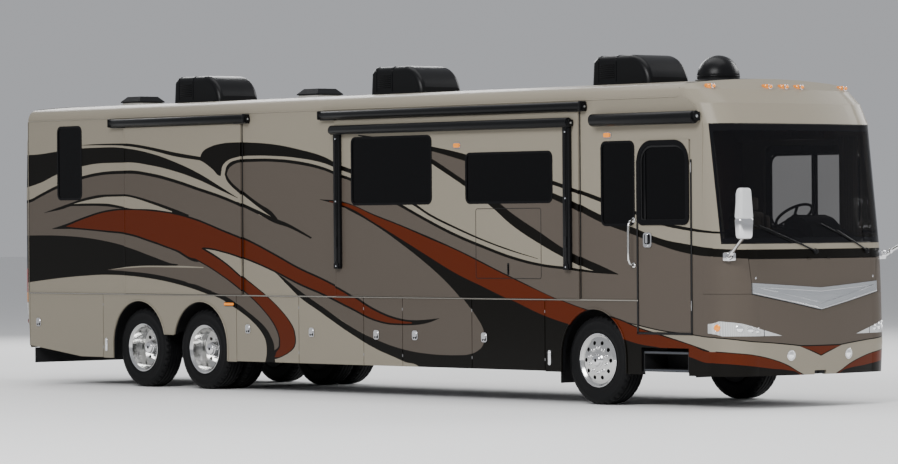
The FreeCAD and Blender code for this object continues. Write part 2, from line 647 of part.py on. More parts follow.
def make_inner_rim(label, centre, side):
    """The inner wheel of a pair: barrel and flanges, with its disc against the outer one's."""
    inner_plane = "wheel_plane - dual_pitch"
    rows = [("bead_radius", "%s - tyre_width / 2 + 20 - 2 * seam" % inner_plane),
            ("flange_radius", "%s - tyre_width / 2 + 20 - 2 * seam" % inner_plane),
            ("flange_radius", "%s - tyre_width / 2 + 5" % inner_plane),
            ("bead_radius - 14", "%s - tyre_width / 2 + 5" % inner_plane),
            ("bead_radius - 14", "wheel_plane - 218"),
            ("150", "wheel_plane - 196"), ("102", "wheel_plane - 190"),
            ("102", "wheel_plane - 169"), ("170", "wheel_plane - 169"),
            ("bead_radius - 18", "wheel_plane - 186"),
            ("bead_radius - 14", "%s + tyre_width / 2 - 12" % inner_plane),
            ("flange_radius - 10", "%s + tyre_width / 2 - 5" % inner_plane),
            ("flange_radius", "%s + tyre_width / 2 - 5" % inner_plane),
            ("flange_radius", "%s + tyre_width / 2 - 20 + 2 * seam" % inner_plane),
            ("bead_radius", "%s + tyre_width / 2 - 20 + 2 * seam" % inner_plane)]
    return turned(label, centre, side, rows)


def shifted(rows, plane):
    return [(radius, "%s + %s" % (plane, out)) for radius, out in rows]


WHEELS = (("front", "front_axle", "domed"), ("drive", "drive_axle", "dished"), ("tag", "tag_axle", "dished"))
for place, axle, style in WHEELS:
    for side, name in ((RIGHT, "right"), (LEFT, "left")):
        tag = "%s_%s" % (place, name)
        tyres = [turned(tag + "_tyre", axle, side, shifted(TYRE, "wheel_plane"))]
        rims = [make_rim(tag + "_wheel", axle, side, style)]
        if place == "drive":
            tyres.append(turned(tag + "_inner_tyre", axle, side, shifted(TYRE, "wheel_plane - dual_pitch")))
            rims.append(make_inner_rim(tag + "_inner_wheel", axle, side))
        node("tyre_" + tag, group(tag + "_tyres", tyres))
        node("rim_" + tag, fuse(tag + "_rims", rims) if len(rims) > 1 else rims[0])


# ------------------------------------------------------------------ roof and caps
CAP_BACK = 5200  # lofts start here, behind both caps' corners
# height, nose of the front cap on the centreline
NOSE_ROWS = ((365, 6690), (690, 6712), (1250, 6698), (1830, 6672), (at.wall_top - 310, 6510),
             (at.wall_top - 80, 6390), (at.wall_top + 80, 6200), (at.crown_height + 15, 5860))
# height, tail of the rear cap on the centreline
TAIL_ROWS = ((470, -6900), (1100, -6970), (2400, -6970), (at.wall_top - 280, -6945),
             (at.wall_top + 20, -6890), (at.crown_height + 15, -6760))


def roof_arch(inset, foot):
    """The roof's cross-section as a closed wire, inset from the outer skin, down to a foot height."""
    half = at.half_width - inset
    radius = at.roof_edge_radius - inset
    edge = at.wall_top + at.seam
    steep = math.radians(75)
    knee = Vector(0, half - radius + radius * math.cos(steep), edge + radius * math.sin(steep))
    middle = Vector(0, half - radius + radius * math.cos(steep / 2), edge + radius * math.sin(steep / 2))
    top = Vector(0, 0, at.crown_height - inset)
    mirrored = [Vector(0, -point.y, point.z) for point in (knee, middle)]
    foot_left, foot_right = Vector(0, half, foot), Vector(0, -half, foot)
    edge_left, edge_right = Vector(0, half, edge), Vector(0, -half, edge)
    edges = [Part.Arc(edge_left, middle, knee).toShape(), Part.Arc(knee, top, mirrored[0]).toShape(),
             Part.Arc(mirrored[0], mirrored[1], edge_right).toShape(),
             Part.makeLine(edge_right, foot_right), Part.makeLine(foot_right, foot_left)]
    if foot_left.z < edge - 1:
        edges.append(Part.makeLine(foot_left, edge_left))
    return Part.Wire(edges)


def roof_solid(inset, foot, rear, front):
    face = Part.Face(roof_arch(inset, foot))
    face.translate(Vector(rear, 0, 0))
    return face.extrude(Vector(front - rear, 0, 0))


def roof_panel():
    edge = at.wall_top + at.seam
    half = at.half_width
    front = at.wall_front - at.wall_front_round - at.seam
    skin = roof_solid(0, edge - 50, at.wall_rear, front)
    hollow = roof_solid(at.wall_gauge, edge - 60, at.wall_rear - 10, front + 10)
    below = Part.makeBox(20000, 2 * half + 20, 60, Vector(at.wall_rear - 10, -half - 10, edge - 60))
    return skin.cut(hollow).cut(below)


def plan_section(height, tip, inset, corner, crown, back, facing):
    """A cap's outline at one height: straight sides, round corners and a bowed end."""
    half = at.half_width - inset
    radius = corner - inset
    shoulder = tip - facing * (crown + inset)
    centre = Vector(shoulder - facing * radius, half - radius, height)
    bend = math.sqrt(0.5) * radius
    side_point = Vector(centre.x, half, height)
    corner_middle = centre + Vector(facing * bend, bend, 0)
    corner_end = Vector(shoulder, half - radius, height)
    tip_point = Vector(tip - facing * inset, 0, height)

    def mirror(point):
        return Vector(point.x, -point.y, point.z)
    back_point = Vector(back, half, height)
    return Part.Wire([
        Part.makeLine(back_point, side_point), Part.Arc(side_point, corner_middle, corner_end).toShape(),
        Part.Arc(corner_end, tip_point, mirror(corner_end)).toShape(),
        Part.Arc(mirror(corner_end), mirror(corner_middle), mirror(side_point)).toShape(),
        Part.makeLine(mirror(side_point), mirror(back_point)), Part.makeLine(mirror(back_point), back_point)])


def cap_loft(rows, inset, corner, crown, facing):
    """A cap filled solid to a skin inset from the outside, before the roof's arch trims it."""
    wires = [plan_section(height, tip, inset, corner, crown, CAP_BACK * facing, facing)
             for height, tip in rows]
    loft = Part.makeLoft(wires, True, True)
    if loft.Volume < 0:
        loft.reverse()
    return loft


def nose_loft(inset):
    return cap_loft(NOSE_ROWS, inset, at.nose_corner, at.nose_crown, 1)


def tail_loft(inset):
    return cap_loft(TAIL_ROWS, inset, at.tail_corner, at.tail_crown, -1)


def under_roof(loft, inset, rows, facing):
    """Trim a cap's loft to the roof's arch."""
    ends = sorted((CAP_BACK * facing, 7200 * facing))
    return loft.common(roof_solid(inset - at.seam, rows[0][0] - 50, ends[0] - 50, ends[1] + 50))


def cap_shell(loft, rows, facing):
    """The walls of a cap."""
    outside = under_roof(loft(0), 0, rows, facing)
    return outside.cut(under_roof(loft(at.wall_gauge), at.wall_gauge, rows, facing))


def skin_between(loft, outer, inner, region):
    """The part of a cap's skin between two insets that lies in a region."""
    return loft(outer).common(region).cut(loft(inner))


def prism(points, low, high, axis):
    """A straight-sided solid from (across, up) points; along Y they are (x, z), along X (y, z)."""
    if axis == "y":
        return polygon([Vector(x, low, z) for x, z in points]).extrude(Vector(0, high - low, 0))
    return polygon([Vector(low, y, z) for y, z in points]).extrude(Vector(high - low, 0, 0))


def screen_region(gap):
    return prism([(at.screen_foot_rear + gap, at.screen_foot + gap), (7300, at.screen_foot + gap),
                  (7300, at.screen_head - gap), (at.screen_head_rear + gap, at.screen_head - gap)],
                 -1500, 1500, "y")


# outlines seen from the front as (across, up)
HOOD = ((-1010, 1660), (1010, 1660), (985, 1399), (0, 1336), (-985, 1399))
HOOD_OPENING = ((-1019, 1668), (1019, 1668), (992, 1398), (992, 1271), (0, 1083), (-992, 1271), (-992, 1398))
HOOD_TRIM = ((-984, 1398.5), (0, 1335.5), (984, 1398.5), (984, 1279), (0, 1091), (-984, 1279))
TRIM_INSET = ((-930, 1352), (-860, 1352), (0, 1300), (860, 1352), (930, 1352), (0, 1158))
HEADLAMP = ((590, 808), (888, 888), (1115, 952), (at.half_width - 25, 976), (at.half_width + 15, 930),
            (at.half_width + 15, 850), (at.half_width - 40, 812))
FOG_LAMP = (456, 587, 56)
BUMPER_SEAM = (1276, 7)
TOW_SLOT = ((-92, 300), (92, 300), (92, 412), (-92, 412))
ENGINE_DOOR = ((-900, 640), (900, 640), (900, 1560), (-900, 1560))
ENGINE_OPENING = ((-908, 632), (908, 632), (908, 1568), (-908, 1568))
TAIL_LAMP = ((at.half_width - 175, 900), (at.half_width + 15, 900), (at.half_width + 15, 1520),
             (at.half_width - 175, 1520))
LAMP_REAR = 6230
NOSE_HINGE = (6683, 1664)
TAIL_HINGE = (-6974, 1564)
LID_HINGES = (-150, 150)


def mirrored(points, side):
    return [(side * across, up) for across, up in points]


def lid_hinge(name, place, facing, reach):
    """Hinges of a lid hung along Y: fixed lugs reaching up and pins with leaves reaching down."""
    axis_x, axis_z = place
    fixed, moving = [], []
    for order, middle in enumerate(LID_HINGES):
        tag = "%s_%d" % (name, order)
        low, high = "%s - knuckle_height / 2" % middle, "%s + knuckle_height / 2" % middle
        inward = sorted((axis_x, axis_x - facing * reach))
        lug = rod(tag + "_lug", "y", "knuckle_radius", (axis_x, low, axis_z), "knuckle_height")
        arm = box(tag + "_arm", inward, (low, high), (axis_z, axis_z + 14))
        bore = rod(tag + "_bore", "y", "pin_radius + running_gap", (axis_x, low + " - 1", axis_z),
                   "knuckle_height + 2")
        fixed.append(cut(tag + "_fixed", fuse(tag + "_solid", [lug, arm]), [bore]))
        moving.append(rod(tag + "_pin", "y", "pin_radius", (axis_x, "%s - knuckle_height" % middle, axis_z),
                          "2 * knuckle_height"))
        spans = (("%s - knuckle_height" % middle, low + " - running_gap"),
                 (high + " + running_gap", "%s + knuckle_height" % middle))
        for level, (start, end) in enumerate(spans):
            moving.append(rod("%s_eye_%d" % (tag, level), "y", "knuckle_radius", (axis_x, start, axis_z),
                              "%s - (%s)" % (end, start)))
            moving.append(box("%s_leaf_%d" % (tag, level), inward, (start, end), (axis_z - 14, axis_z)))
    return fixed, moving


def make_front_cap():
    """The front cap's shell with its openings, and the pieces that fill them."""
    shell = cap_shell(nose_loft, NOSE_ROWS, 1)
    round_centre = (at.wall_front - at.wall_front_round, at.wall_top - at.wall_front_round)
    region = Part.makeBox(2000, 4000, 4000, Vector(at.wall_front + at.seam, -2000, 0))
    upper = Part.makeBox(2000, 4000, 1000, Vector(round_centre[0], -2000, round_centre[1]))
    rounding = Part.makeCylinder(at.wall_front_round + at.seam, 4000,
                                 Vector(round_centre[0], -2000, round_centre[1]), Vector(0, 1, 0))
    shell = shell.common(region.fuse(upper.cut(rounding)))
    glass = skin_between(nose_loft, 2, 2 + at.glass_gauge, screen_region(at.running_gap))
    cap = shell.cut(screen_region(0)).cut(prism(HOOD_OPENING, 6200, 7200, "x"))
    lamps = []
    for side in (RIGHT, LEFT):
        region = prism(mirrored(HEADLAMP, side), LAMP_REAR, 7200, "x")
        cap = cap.cut(region)
        lamps.append(skin_between(nose_loft, -3, 50, region))
        across, height, radius = FOG_LAMP
        bezel = Part.makeCylinder(radius, 400, Vector(6400, side * across, height), Vector(1, 0, 0))
        bowl = Part.makeCylinder(radius - 12, 400, Vector(6400, side * across, height), Vector(1, 0, 0))
        cap = cap.cut(bezel)
        lamps.append(skin_between(nose_loft, -10, 40, bezel).cut(skin_between(nose_loft, -20, -2, bowl)))
        height, width = BUMPER_SEAM
        strip = Part.makeBox(1400, at.half_width - HOOD_OPENING[3][0] + 50, width,
                             Vector(6000, 0, height - width / 2))
        strip.translate(Vector(0, HOOD_OPENING[3][0] if side > 0 else -at.half_width - 50, 0))
        cap = cap.cut(skin_between(nose_loft, -1, 6, strip))
    cap = cap.cut(prism(TOW_SLOT, 6200, 7200, "x"))
    hood = skin_between(nose_loft, 0, 28, prism(HOOD, 6200, 7200, "x"))
    trim = skin_between(nose_loft, -14, 24, prism(HOOD_TRIM, 6200, 7200, "x"))
    trim = trim.cut(skin_between(nose_loft, -20, -5, prism(TRIM_INSET, 6200, 7200, "x")))
    return cap, glass, hood, trim, lamps


def cut_for_receiver(shape):
    """Leave room around the receiver tube, from the frame's last cross bar outward."""
    return shape.cut(Part.makeBox(460, 96, 100, Vector(-7100, -48, 420)))


def make_rear_cap():
    shell = cap_shell(tail_loft, TAIL_ROWS, -1)
    region = Part.makeBox(2000, 4000, 4000, Vector(at.wall_rear - at.seam - 2000, -2000, 0))
    cap = shell.common(region).cut(prism(ENGINE_OPENING, -7200, -6600, "x"))
    cap = cut_for_receiver(cap)
    door = skin_between(tail_loft, 0, 35, prism(ENGINE_DOOR, -7200, -6600, "x"))
    lamps = []
    for side in (RIGHT, LEFT):
        region = prism(mirrored(TAIL_LAMP, side), -7200, at.wall_rear - 40, "x")
        cap = cap.cut(region)
        lamps.append(skin_between(tail_loft, -4, 30, region))
    return cap, door, lamps


front_cap, screen_glass, hood_panel, hood_trim, headlamps = make_front_cap()
rear_cap, engine_door, tail_lamps = make_rear_cap()
hood_lugs, hood_pins = lid_hinge("hood_hinge", NOSE_HINGE, 1, 34)
door_lugs, door_pins = lid_hinge("engine_door_hinge", TAIL_HINGE, -1, 34)
node("roof", shaped("roof_panel", roof_panel()))
node("front_cap", fuse("front_cap_all", [shaped("front_cap_shell", front_cap)] + hood_lugs))
node("windshield", shaped("screen", screen_glass))
node("hood", fuse("hood_all", [shaped("hood_panel", hood_panel)] + hood_pins))
node("hood_trim", shaped("hood_trim_wing", hood_trim))
node("headlamps", group("headlamp_pair", [shaped("headlamp", lamp) for lamp in headlamps]))
node("rear_cap", fuse("rear_cap_all", [shaped("rear_cap_shell", rear_cap)] + door_lugs))
node("engine_door", fuse("engine_door_all", [shaped("engine_door_panel", engine_door)] + door_pins))


def nose_x(across, height, inset=0.0):
    """How far forward the front cap's skin lies at a point across and up."""
    rows = NOSE_ROWS
    low = max((row for row in rows if row[0] <= height), key=lambda row: row[0])
    high = min((row for row in rows if row[0] > height), key=lambda row: row[0])
    tip = low[1] + (high[1] - low[1]) * (height - low[0]) / (high[0] - low[0]) - inset
    flat = at.half_width - at.nose_corner
    bow = (flat ** 2 + at.nose_crown ** 2) / (2 * at.nose_crown)
    if abs(across) <= flat:
        return tip - bow + math.sqrt(bow ** 2 - across ** 2)
    corner = at.nose_corner - inset
    return tip - at.nose_crown - corner + math.sqrt(max(corner ** 2 - (abs(across) - flat) ** 2, 0))


MARKERS = (-1050, -250, 0, 250, 1050)
MARKER_HEIGHT = at.wall_top + 110


def marker_lamps():
    """Five clearance lamps on the brow, cut to sit on the cap's skin."""
    skin = nose_loft(-at.seam)
    lamps = []
    for across in MARKERS:
        middle = nose_x(across, MARKER_HEIGHT)
        pod = Part.makeSphere(60, Vector(middle, across, MARKER_HEIGHT))
        pod = pod.common(Part.makeBox(200, 200, 56, Vector(middle - 100, across - 100, MARKER_HEIGHT - 28)))
        lamps.append(pod.cut(skin))
    return lamps


signals = [shaped("tail_lamp", lamp) for lamp in tail_lamps]
signals += [shaped("clearance_lamp", lamp) for lamp in marker_lamps()]
node("signal_lamps", group("signal_lamp_set", signals))


# ------------------------------------------------------------------ slide-outs
def slide_runners(name, side, rear, front, depth):
    inner = "half_width - %s + 5" % depth
    runners = []
    for order, place in enumerate(("%s + 400" % rear, "(%s + %s) / 2" % (rear, front), "%s - 400" % front)):
        runners.append(side_box("%s_runner_%d" % (name, order), side, ("%s - 40" % place, "%s + 40" % place),
                                (inner, WALL_IN), ("deck_top + running_gap", "deck_top + 7")))
    return runners


def make_slideout(name, side, rear, front, depth, windows):
    """A room box, open inboard, with a fascia that covers the edge of the wall's opening."""
    inset = "(fascia_lap + slide_gap)"
    x = ("%s + %s" % (rear, inset), "%s - %s" % (front, inset))
    skin = "half_width + fascia_gap"
    z = ("deck_top + 6", "slide_head - " + inset)
    room = side_box(name + "_room", side, x, ("half_width - " + depth, skin + " + 1"), z)
    hollow = side_box(name + "_hollow", side, ("%s + slide_wall" % x[0], "%s - slide_wall" % x[1]),
                      ("half_width - %s - 10" % depth, "half_width - slide_wall"),
                      ("%s + slide_wall" % z[0], "%s - slide_wall" % z[1]))
    fascia = side_box(name + "_fascia", side, (rear, front), (skin, skin + " + fascia_gauge"),
                      ("slide_foot", "slide_head"))
    body = fuse(name + "_solid", [cut(name + "_shell", room, [hollow]), fascia]
                + slide_runners(name, side, rear, front, depth))
    panes, holes = [], []
    for order, (window_rear, window_front, foot, head) in enumerate(windows):
        gap = at.running_gap
        outer = at.half_width + at.fascia_gap + at.fascia_gauge - at.glass_inset
        hole = rounded_pane("hole", (window_rear, window_front), (foot, head),
                            (at.half_width - at.slide_wall - 20, outer + 60), side, at.glass_corner)
        pane = rounded_pane("pane", (window_rear + gap, window_front - gap), (foot + gap, head - gap),
                            (outer - at.glass_gauge, outer), side, at.glass_corner - gap)
        holes.append(shaped("%s_hole_%d" % (name, order), hole))
        panes.append(shaped("%s_pane_%d" % (name, order), pane))
    node(name, cut(name + "_form", body, holes) if holes else body)
    if panes:
        node(name + "_glass", group(name + "_panes", panes))


for slide in SLIDES:
    make_slideout(*slide)

# ------------------------------------------------------------------ entry door and step
ENTRY_WINDOW = ((at.entry_rear + 37, at.entry_front - 35), (at.entry_head - 915, at.entry_head - 40))
ENTRY_HINGES = ("entry_sill + 300", "entry_head - 300")


def make_entry_door():
    panel = side_box("entry_panel", RIGHT, ("entry_rear + door_gap / 2", "entry_front - door_gap / 2"),
                     ("half_width - door_gauge", "half_width"),
                     ("entry_sill + door_gap / 2", "entry_head - door_gap / 2"))
    hole = rounded_pane("hole", *ENTRY_WINDOW, (at.half_width - 100, at.half_width + 40), RIGHT, 110)
    gap = at.running_gap
    (rear, front), (foot, head) = ENTRY_WINDOW
    outer = at.half_width - at.glass_inset
    pane = rounded_pane("pane", (rear + gap, front - gap), (foot + gap, head - gap),
                        (outer - at.glass_gauge, outer), RIGHT, 110 - gap)
    leaf = cut("entry_leaf", panel, [shaped("entry_window_hole", hole)])
    node("entry_door", fuse("entry_door_all", [leaf] + hinge_moving("entry_hinge", RIGHT, "entry_front",
                                                                   ENTRY_HINGES, -1)))
    node("entry_door_glass", shaped("entry_pane", pane))


make_entry_door()


def make_entry_step():
    """A two-tread step that slides out from under the door."""
    x = ("entry_rear + 60", "entry_front - 60")
    treads = [side_box("lower_tread", RIGHT, x, ("900", "half_width - 20"), (400, 425)),
              side_box("upper_tread", RIGHT, x, ("900", "half_width - 20"), (600, 625))]
    for order, place in enumerate((x[0], x[1] + " - 12")):
        treads.append(side_box("step_cheek_%d" % order, RIGHT, (place, place + " + 12"),
                               ("900", "half_width - 20"), (400, 625)))
    treads.append(side_box("step_back", RIGHT, x, ("900", "912"), (400, "entry_sill - 40 - running_gap")))
    return fuse("entry_step_all", treads)


node("entry_step", make_entry_step())

# ------------------------------------------------------------------ awnings
# rear end, front end, height, radius, side
TOPPERS = ((-4830, -1960, "slide_head + 54", 42, RIGHT), (-500, 4270, "slide_head + 54", 42, RIGHT),
           (-2300, 4100, "slide_head + 54", 42, LEFT), (4430, 6130, "entry_head + 263", 60, RIGHT))


def awning_case(name, side, rear, front, height, radius, face):
    """A round roller case with end plates, on a flat backing rail."""
    band = ("%s - %.1f" % (height, radius * 0.8), "%s + %.1f" % (height, radius * 0.8))
    parts = [side_box(name + "_rail", side, (rear, front), ("%s + seam" % face, "%s + %d" % (face, radius)), band)]
    centre = "%d * (%s + %d)" % (side, face, radius + 4)
    parts.append(rod(name + "_roller", "x", radius, (rear, centre, height), front - rear))
    for order, place in enumerate((rear - 12, front)):
        parts.append(rod("%s_end_%d" % (name, order), "x", radius - 5, (place, centre, height), 12))
    return parts


cases = []
for order, (rear, front, height, radius, side) in enumerate(TOPPERS):
    tag = "topper_%d" % order
    cases.append(fuse(tag, awning_case(tag, side, rear, front, height, radius, "half_width")))
node("awning_cases", group("awning_case_set", cases))

FASCIA_FACE = "half_width + fascia_gap + fascia_gauge"
PATIO = (-260, 4070, "slide_head - 128", 46)
PATIO_ARMS = (-175, 3985)


def make_patio_awning():
    """The roller case and the two folded arms that stand on the front slide-out's fascia."""
    rear, front, height, radius = PATIO
    parts = awning_case("patio", RIGHT, rear, front, height, radius, FASCIA_FACE)
    for order, place in enumerate(PATIO_ARMS):
        parts.append(side_box("patio_arm_%d" % order, RIGHT, (place - 36, place + 36),
                              (FASCIA_FACE + " + seam", FASCIA_FACE + " + 24"), (1555, height)))
        parts.append(side_box("patio_arm_inner_%d" % order, RIGHT, (place - 24, place + 24),
                              (FASCIA_FACE + " + 23", FASCIA_FACE + " + 52"), (1600, height)))
        parts.append(side_box("patio_arm_foot_%d" % order, RIGHT, (place - 42, place + 42),
                              (FASCIA_FACE + " + seam", FASCIA_FACE + " + 58"), (1540, 1605)))
    return fuse("patio_awning_all", parts)


node("patio_awning", make_patio_awning())

# ------------------------------------------------------------------ roof gear
COOLERS = (-4330, -275, 3790)
COOLER_HALF = 330
VENTS = (-5935, -2165)
DISH = 5095


def make_roof_gear():
    """Three coolers, two vents and a dish dome, each seated on the crowned roof."""
    crown = at.crown_height
    roof_skin = roof_solid(-at.running_gap, at.wall_top - 20, at.wall_rear, at.wall_front)
    units = []
    for place in COOLERS:
        foot_rear, foot_front = Vector(place - 470, 0, crown - 90), Vector(place + 485, 0, crown - 90)
        rear_low, rear_high = Vector(place - 495, 0, crown + 60), Vector(place - 480, 0, crown + 275)
        top_rear, top_front = Vector(place - 400, 0, crown + 335), Vector(place + 120, 0, crown + 335)
        brow, chin = Vector(place + 390, 0, crown + 245), Vector(place + 492, 0, crown + 70)
        outline = Part.Wire([
            Part.makeLine(foot_rear, rear_low), Part.makeLine(rear_low, rear_high),
            Part.makeLine(rear_high, top_rear), Part.makeLine(top_rear, top_front),
            Part.Arc(top_front, brow, chin).toShape(), Part.makeLine(chin, foot_front),
            Part.makeLine(foot_front, foot_rear)])
        shell = Part.Face(outline)
        shell.translate(Vector(0, -COOLER_HALF, 0))
        shell = shell.extrude(Vector(0, 2 * COOLER_HALF, 0))
        rims = [edge for edge in shell.Edges if edge.CenterOfMass.z > crown + 150
                and abs(edge.CenterOfMass.y) > COOLER_HALF - 1]
        units.append(shell.makeFillet(70, rims).cut(roof_skin))
    for place in VENTS:
        kerb = Part.makeBox(380, 380, 110, Vector(place - 190, -190, crown - 75))
        lid = Part.makeBox(420, 420, 80, Vector(place - 210, -210, crown + 35))
        lid = lid.makeChamfer(66, [edge for edge in lid.Edges if edge.CenterOfMass.z > crown + 112])
        units.append(kerb.fuse(lid).cut(roof_skin))
    drum = Part.makeCylinder(245, 170, Vector(DISH, 0, crown - 90)).fuse(
        Part.makeSphere(245, Vector(DISH, 0, crown + 50)).common(Part.makeBox(600, 600, 300, Vector(
            DISH - 300, -300, crown + 50))))
    units.append(drum.cut(roof_skin))
    return [shaped("roof_unit_%d" % order, unit) for order, unit in enumerate(units)]


node("roof_gear", group("roof_gear_set", make_roof_gear()))


# ------------------------------------------------------------------ mirrors, wipers, flaps
def strut(start, end, radius):
    return Part.makeCylinder(radius, (end - start).Length, start, end - start)


def make_mirror(side):
    """A tall mirror head on a bent arm that stands on the corner of the front cap."""
    across = 1200
    foot = Vector(nose_x(across, 1690), side * across, 1690)
    flat = at.half_width - at.nose_corner
    outward = Vector(foot.x - (nose_x(0, 1690) - at.nose_crown - at.nose_corner),
                     side * (across - flat), 0).normalize()
    foot = foot + outward * at.running_gap
    elbow = foot + outward * 130 + Vector(60, side * 15, 40)
    head = Vector(6915, side * 1400, 2175)
    pod = Part.makeBox(110, 200, 548, head - Vector(55, 100, 274))
    pod = pod.makeFillet(50, [edge for edge in pod.Edges if edge.Length > 150])
    shape = Part.makeCylinder(48, 16, foot, outward)
    for piece in (strut(foot + outward * 8, elbow, 20), Part.makeSphere(23, elbow),
                  strut(elbow, head - Vector(0, 0, 240), 20), pod):
        shape = shape.fuse(piece)
    return shape.cut(nose_loft(-at.running_gap))


node("mirrors", group("mirror_pair", [shaped("mirror_%d" % side, make_mirror(side)) for side in (RIGHT, LEFT)]))

# pivot across, pivot up, tip across, tip up
WIPERS = ((-50, 1740, -850, 2030), (830, 1740, 310, 1970))


def make_wiper(pivot_across, pivot_up, tip_across, tip_up):
    """An arm in four straight runs that keep just clear of the bowed glass."""
    points = []
    for step in range(5):
        share = step / 4
        across = pivot_across + (tip_across - pivot_across) * share
        height = pivot_up + (tip_up - pivot_up) * share
        points.append(Vector(nose_x(across, height) + 18, across, height))
    shape = strut(Vector(nose_x(pivot_across, pivot_up) + at.running_gap, pivot_across, pivot_up),
                  points[0] + Vector(16, 0, 0), 18)
    for start, end in zip(points, points[1:]):
        shape = shape.fuse(strut(start, end, 9)).fuse(Part.makeSphere(11, end))
    return shape.cut(nose_loft(-at.running_gap))


node("wipers", group("wiper_pair", [shaped("wiper", make_wiper(*row)) for row in WIPERS]))


def make_flaps():
    """Flaps behind the front and tag wheels and the guard across the tail."""
    flaps = []
    for side in (RIGHT, LEFT):
        flaps.append(side_box("front_flap_%d" % side, side, ("front_axle - 640", "front_axle - 630"),
                              ("930", "half_width - 70"), (235, 720)))
        flaps.append(side_box("front_flap_hanger_%d" % side, side, ("3555 + running_gap", "front_axle - 630"),
                              ("930", "half_width - 70"), (712, 740)))
    flaps = [fuse("front_flap_pair_%d" % order, flaps[2 * order:2 * order + 2]) for order in (0, 1)]
    guard = box("tail_guard", ("-6660", "-6648"), ("-half_width + 20", "half_width - 20"), (270, 470))
    hanger = box("tail_guard_hanger", ("-6660", "-6640 - running_gap"), ("-430", "430"), (440, 500))
    notch = box("tail_guard_notch", ("-6670", "-6640 + 1"), (-48, 48), (420, 520))
    flaps.append(cut("tail_guard_notched", fuse("tail_guard_all", [guard, hanger]), [notch]))
    return flaps


node("mud_flaps", group("mud_flap_set", make_flaps()))

# ------------------------------------------------------------------ cab
WHEEL_CENTRE = Vector(5700, 600, 2140)
WHEEL_TILT = 35


def make_dashboard():
    """The dash shelf across the cab, with the driver's hump, pedestal and column."""
    side_view = [Vector(6090 - 300, 0, 1217.3), Vector(6090 - 60, 0, 1217.3), Vector(6090, 0, 1560),
                 Vector(6330, 0, 1740), Vector(6330, 0, 1800), Vector(6000, 0, 1990), Vector(5880, 0, 1960),
                 Vector(5860, 0, 1760)]
    side_view = [Vector(point.x, 0, max(point.z, at.deck_top + at.running_gap)) for point in side_view]
    dash = polygon(side_view)
    dash.translate(Vector(0, -785, 0))
    dash = dash.extrude(Vector(0, 1905, 0))
    hump = Part.makeCylinder(280, 480, Vector(5960, 360, 1860), Vector(0, 1, 0))
    hump = hump.common(Part.makeBox(500, 600, 400, Vector(5780, 300, 1860)))
    tilt = math.radians(WHEEL_TILT)
    axis = Vector(-math.sin(tilt), 0, math.cos(tilt))
    end = WHEEL_CENTRE - axis * 46
    column = strut(end - axis * 330, end, 34)
    return dash.fuse(hump).fuse(column)


def make_steering_wheel():
    tilt = math.radians(WHEEL_TILT)
    ring = Part.makeTorus(225, 16)
    hub = Part.makeCylinder(42, 40, Vector(0, 0, -40))
    wheel = ring.fuse(hub)
    for angle in (90, 210, 330):
        spoke = Part.makeBox(216, 30, 14, Vector(10, -15, -14))
        spoke.rotate(Vector(), Vector(0, 0, 1), angle)
        wheel = wheel.fuse(spoke)
    hub_foot = Part.makeCylinder(30, 46 - at.running_gap, Vector(0, 0, -46 + at.running_gap))
    return wheel.fuse(hub_foot), FreeCAD.Placement(
        WHEEL_CENTRE, FreeCAD.Rotation(Vector(0, 1, 0), -math.degrees(tilt)))


node("dashboard", shaped("dashboard_form", make_dashboard()))
wheel_shape, wheel_place = make_steering_wheel()
steering = shaped("steering_wheel_form", wheel_shape)
steering.Placement = wheel_place
node("steering_wheel", steering)

SEATS = ((5180, 600), (5180, -480))


def make_seat(place, across):
    """A captain's chair on a box base."""
    base = Part.makeBox(420, 420, 330, Vector(place - 210, across - 210, at.deck_top + at.running_gap))
    squab = Part.makeBox(540, 540, 150, Vector(place - 270, across - 270, 1540))
    squab = squab.makeFillet(50, squab.Edges)
    back = Part.makeBox(150, 540, 760, Vector(place - 300, across - 270, 1600))
    back = back.makeFillet(50, back.Edges)
    return base.fuse(squab).fuse(back)


node("cab_seats", group("cab_seat_pair", [shaped("cab_seat", make_seat(*row)) for row in SEATS]))


# ------------------------------------------------------------------ write the parts
doc.recompute()
faults = [item.Name for item in doc.Objects if {"Invalid", "Error"} & set(item.State)]
for part in nodes:
    if part.Shape.isNull() or not part.Shape.isValid() or not part.Shape.Solids:
        faults.append(part.Label)
if faults:
    raise RuntimeError("not built: " + ", ".join(faults))
os.makedirs("parts", exist_ok=True)
for part in nodes:
    part.Shape.exportStep("parts/%s.step" % part.Label)
    bounds = part.Shape.BoundBox
    print("%-22s %2d solids %8.3f litres  x %6.0f %6.0f  y %6.0f %6.0f  z %6.0f %6.0f" % (
        part.Label, len(part.Shape.Solids), part.Shape.Volume / 1e6, bounds.XMin, bounds.XMax,
        bounds.YMin, bounds.YMax, bounds.ZMin, bounds.ZMax))
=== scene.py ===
"""Looks of the tag-axle motorhome: paint, glass, lamps, wheels, trim and the cab seen through the screen."""
import json
import math

import bpy
from mathutils import Euler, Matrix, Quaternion, Vector

